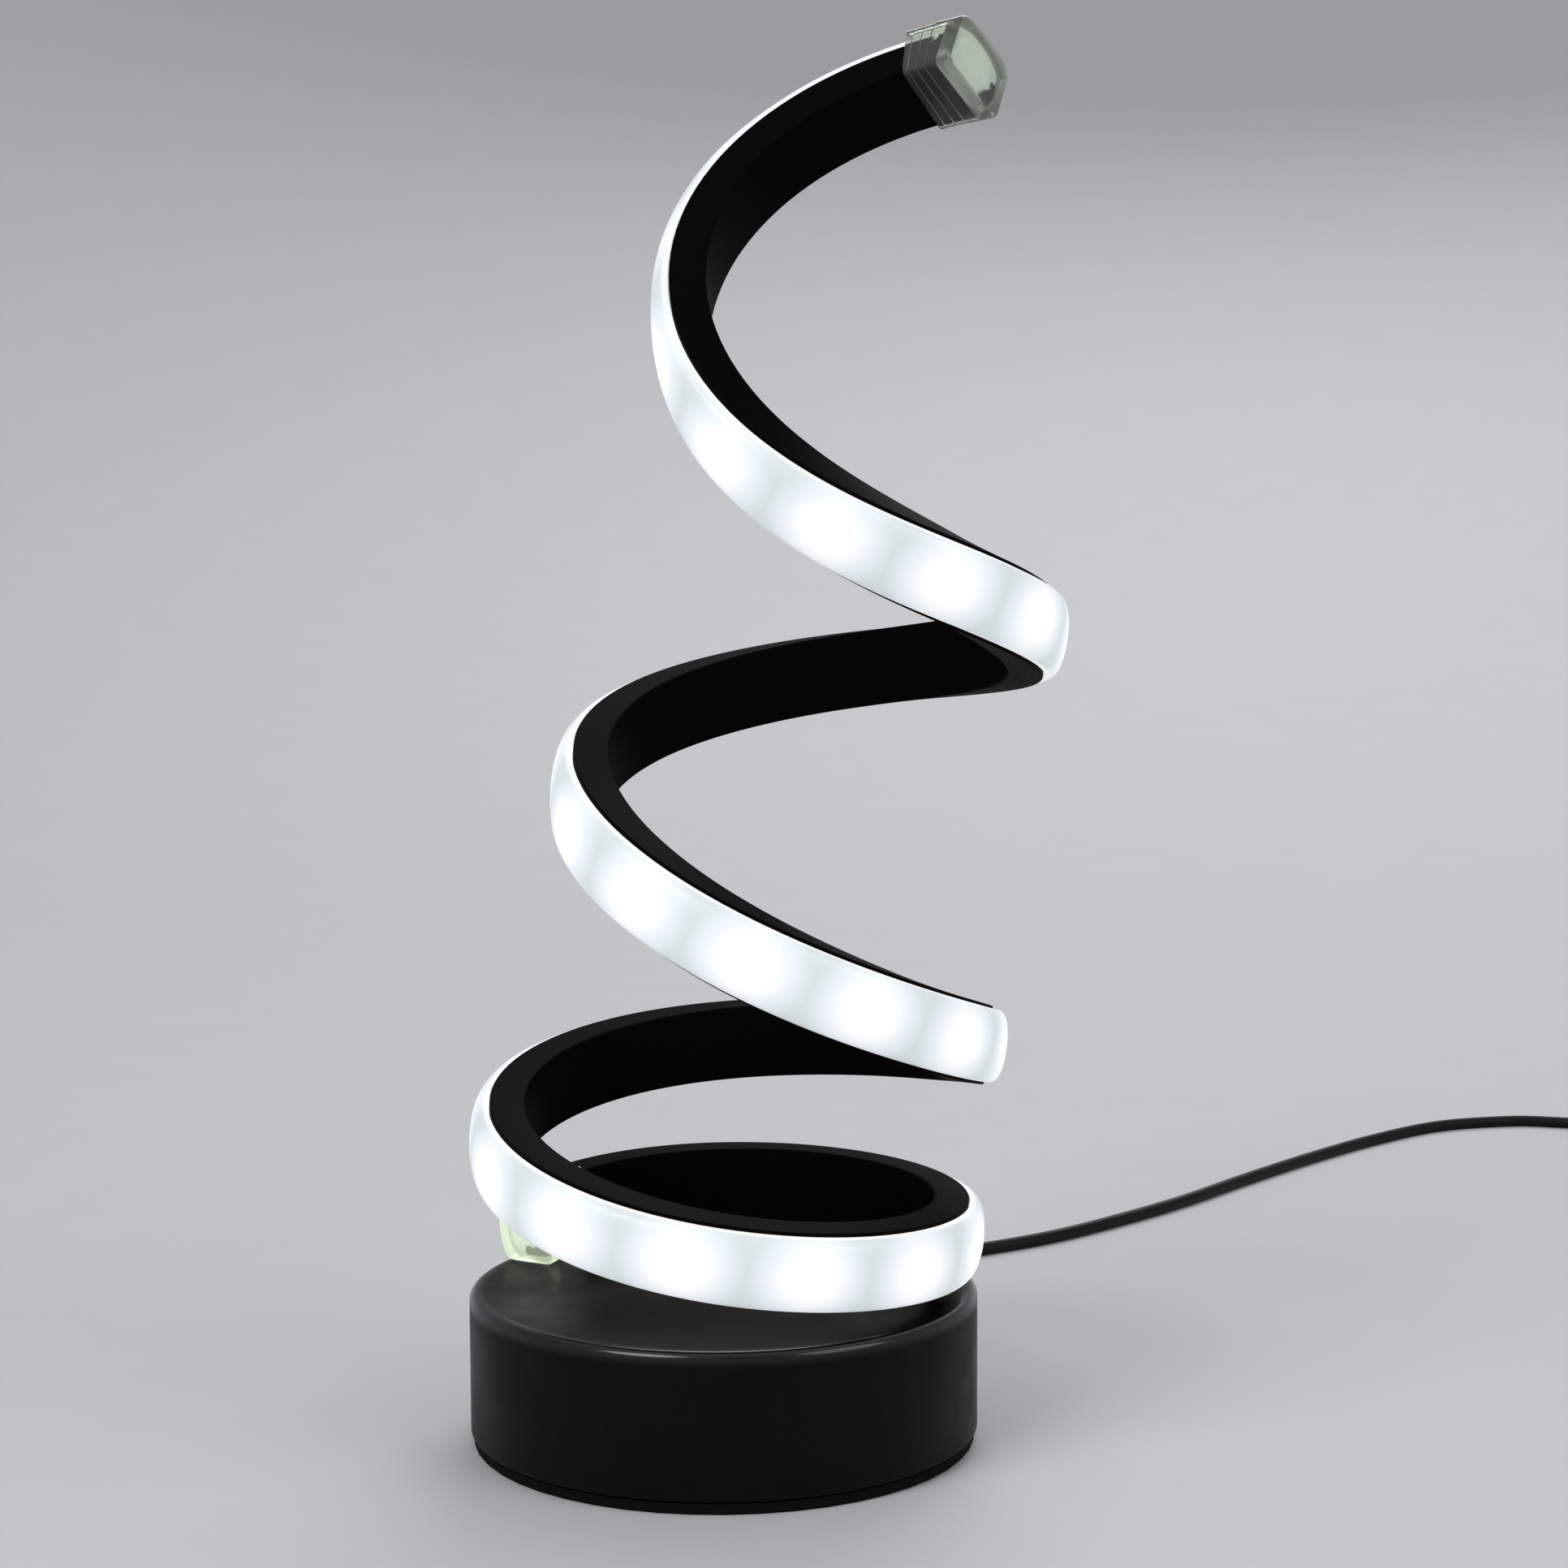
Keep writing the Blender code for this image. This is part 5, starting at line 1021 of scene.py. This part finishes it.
class LAMP_OT_caps(bpy.types.Operator):
    """Make the clear caps pushed over both ends of the strip"""

    bl_idname = "lamp.caps"
    bl_label = "End caps"

    def execute(self, context):
        sizes = context.scene.lamp_strip
        colour = context.scene.lamp_finishes.clear
        unlit = clear_plastic("clear_moulded_plastic", colour)
        # the lower cap's finish has a painted glow, an emission standing in for the strip's light leaking
        # through it
        lit = clear_plastic("clear_moulded_plastic_lit", colour, glow=0.3)
        for name, low, finish in (("end_cap_lower", True, lit), ("end_cap_upper", False, unlit)):
            cap = surface(name + "_clear", self.grid(sizes, low), finish, round_closed=True, angle=35)
            stands_for(cap, "clear_plastic", name)
        return {"FINISHED"}

    def outline(self, sizes, offset):
        """The strip's outside, made larger all round by an offset."""
        side = sizes.width / 2 + offset
        back = -sizes.depth - offset
        corner = sizes.corner + offset
        rim = bulge_line(side, sizes.bulge) + np.array((offset, 0))
        lower = fillet((back + corner, -side + corner), corner, 270, 180, 4)
        upper = fillet((back + corner, side - corner), corner, 180, 90, 4)
        depth = np.linspace(back + corner, offset, CAP_FACE_STEPS)[1:-1]
        face = np.stack([depth, np.full(len(depth), side)], axis=1)
        return np.concatenate((rim, lower, upper, face))

    def grid(self, sizes, low):
        """Rings from the end wall out to the mouth, and back inside to the wall's inner face.

        The outside has three shallow grooves, and a round dimple in its upper side.
        """
        outer = GAP + CAP_WALL
        end = -GAP - CAP_END_WALL
        end_round = CAP_EDGE * 0.3
        rings = [(end, outer - CAP_EDGE), (end + end_round, outer - end_round), (end + CAP_EDGE, outer)]
        rings += [(place, outer) for place in np.linspace(end + CAP_EDGE, -0.2 * MM, 4)[1:]]
        rings += [(place, outer) for place in np.linspace(0, 2 * DIMPLE_PLACE, CAP_FINE_STEPS)]
        low_side = outer - CAP_STEP
        floor = outer - CAP_GROOVE_DEPTH
        for middle in CAP_GROOVES:
            half = CAP_GROOVE_HALF_WIDTH
            rings += [(middle - half, low_side), (middle - half / 2, floor)]
            rings += [(middle + half / 2, floor), (middle + half, low_side)]
        mouth_edge = CAP_EDGE / 2
        rings += [(CAP_OVERLAP - mouth_edge, low_side), (CAP_OVERLAP, low_side - mouth_edge)]
        rings += [(CAP_OVERLAP, GAP)]
        rings += [(place, GAP) for place in np.linspace(CAP_OVERLAP, -GAP, 7)[1:]]
        length = strip_length(sizes)
        along = np.array([place / length for place, offset in rings])
        outlines = np.array([self.outline(sizes, offset) for place, offset in rings])
        outside = np.array([offset > GAP for place, offset in rings])
        place = along[:, None] * length
        to_dimple = np.hypot(place - DIMPLE_PLACE, outlines[:, :, 0] + DIMPLE_DEPTH_PLACE)
        dimple = DIMPLE_DEPTH * np.sqrt(np.clip(1 - (to_dimple / DIMPLE_RADIUS) ** 2, 0, 1))
        outlines[:, :, 1] -= np.where(outside[:, None] & (outlines[:, :, 1] > sizes.width / 2), dimple, 0)
        grid = swept(sizes, along if low else 1 - along, outlines)
        first = np.broadcast_to(grid[0].mean(axis=0), grid[0].shape)
        last = np.broadcast_to(grid[-1].mean(axis=0), grid[-1].shape)
        return np.concatenate((first[None], grid, last[None]))


class LAMP_OT_fittings(bpy.types.Operator):
    """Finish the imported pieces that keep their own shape"""

    bl_idname = "lamp.fittings"
    bl_label = "Fittings"

    def execute(self, context):
        iron, rubber, zinc, moulded = cast_iron(), black_rubber(), zinc_plate(), moulded_black()
        brass, nylon, tape, red = brass_sheet(), white_nylon(), tape_circuit(), red_insulation()
        starts = (
            ("base_plate", zinc),
            ("base_weight", iron),
            ("base_screw", zinc),
            ("foot_pad", rubber),
            ("led_tape", tape),
            ("strip_screw", zinc),
            ("strip_spacer", moulded),
            ("wire_grommet", rubber),
            ("cord_stop_ring", moulded),
            ("cord_core_red", red),
            ("cord_core_black", moulded),
            ("feed_wire_red", red),
            ("feed_wire_black", moulded),
            ("joint_sleeve", rubber),
            ("switch_lower_half", moulded),
            ("switch_upper_half", moulded),
            ("switch_rocker", moulded),
            ("rocker_pin", zinc),
            ("switch_screw", zinc),
            ("switch_contact", brass),
            ("plug_body", moulded),
            ("plug_shell", zinc),
            ("plug_tongue", nylon),
            ("plug_contact", brass),
        )
        for name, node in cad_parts.items():
            for start, finish in starts:
                if name.startswith(start):
                    for slot in node.material_slots:
                        slot.material = finish
        return {"FINISHED"}


class LAMP_PT_panel(bpy.types.Panel):
    """Lists the lamp's pieces and sizes"""

    bl_label = "Spiral light strip lamp"
    bl_idname = "LAMP_PT_panel"
    bl_space_type = "VIEW_3D"
    bl_region_type = "UI"
    bl_category = "Lamp"

    def draw(self, context):
        for operator in STEPS:
            self.layout.operator(operator.bl_idname)
        for name in GROUPS:
            group = getattr(context.scene, name)
            box = self.layout.box()
            for key in group.__annotations__:
                box.prop(group, key)


STEPS = (
    LAMP_OT_stage,
    LAMP_OT_lead,
    LAMP_OT_base,
    LAMP_OT_channel,
    LAMP_OT_diffuser,
    LAMP_OT_caps,
    LAMP_OT_fittings,
)
GROUPS = {
    "lamp_strip": StripSizes,
    "lamp_base": BaseSizes,
    "lamp_light": LightLook,
    "lamp_finishes": Finishes,
}


def register():
    for item in (*GROUPS.values(), *STEPS, LAMP_PT_panel):
        bpy.utils.register_class(item)
    for name, group in GROUPS.items():
        setattr(bpy.types.Scene, name, bpy.props.PointerProperty(type=group))


def unregister():
    for name in GROUPS:
        delattr(bpy.types.Scene, name)
    for item in reversed((*GROUPS.values(), *STEPS, LAMP_PT_panel)):
        bpy.utils.unregister_class(item)


def main():
    register()
    bpy.ops.lamp.stage()
    bpy.ops.lamp.lead()
    bpy.ops.lamp.base()
    bpy.ops.lamp.channel()
    bpy.ops.lamp.diffuser()
    bpy.ops.lamp.caps()
    bpy.ops.lamp.fittings()


if __name__ == "__main__":
    main()
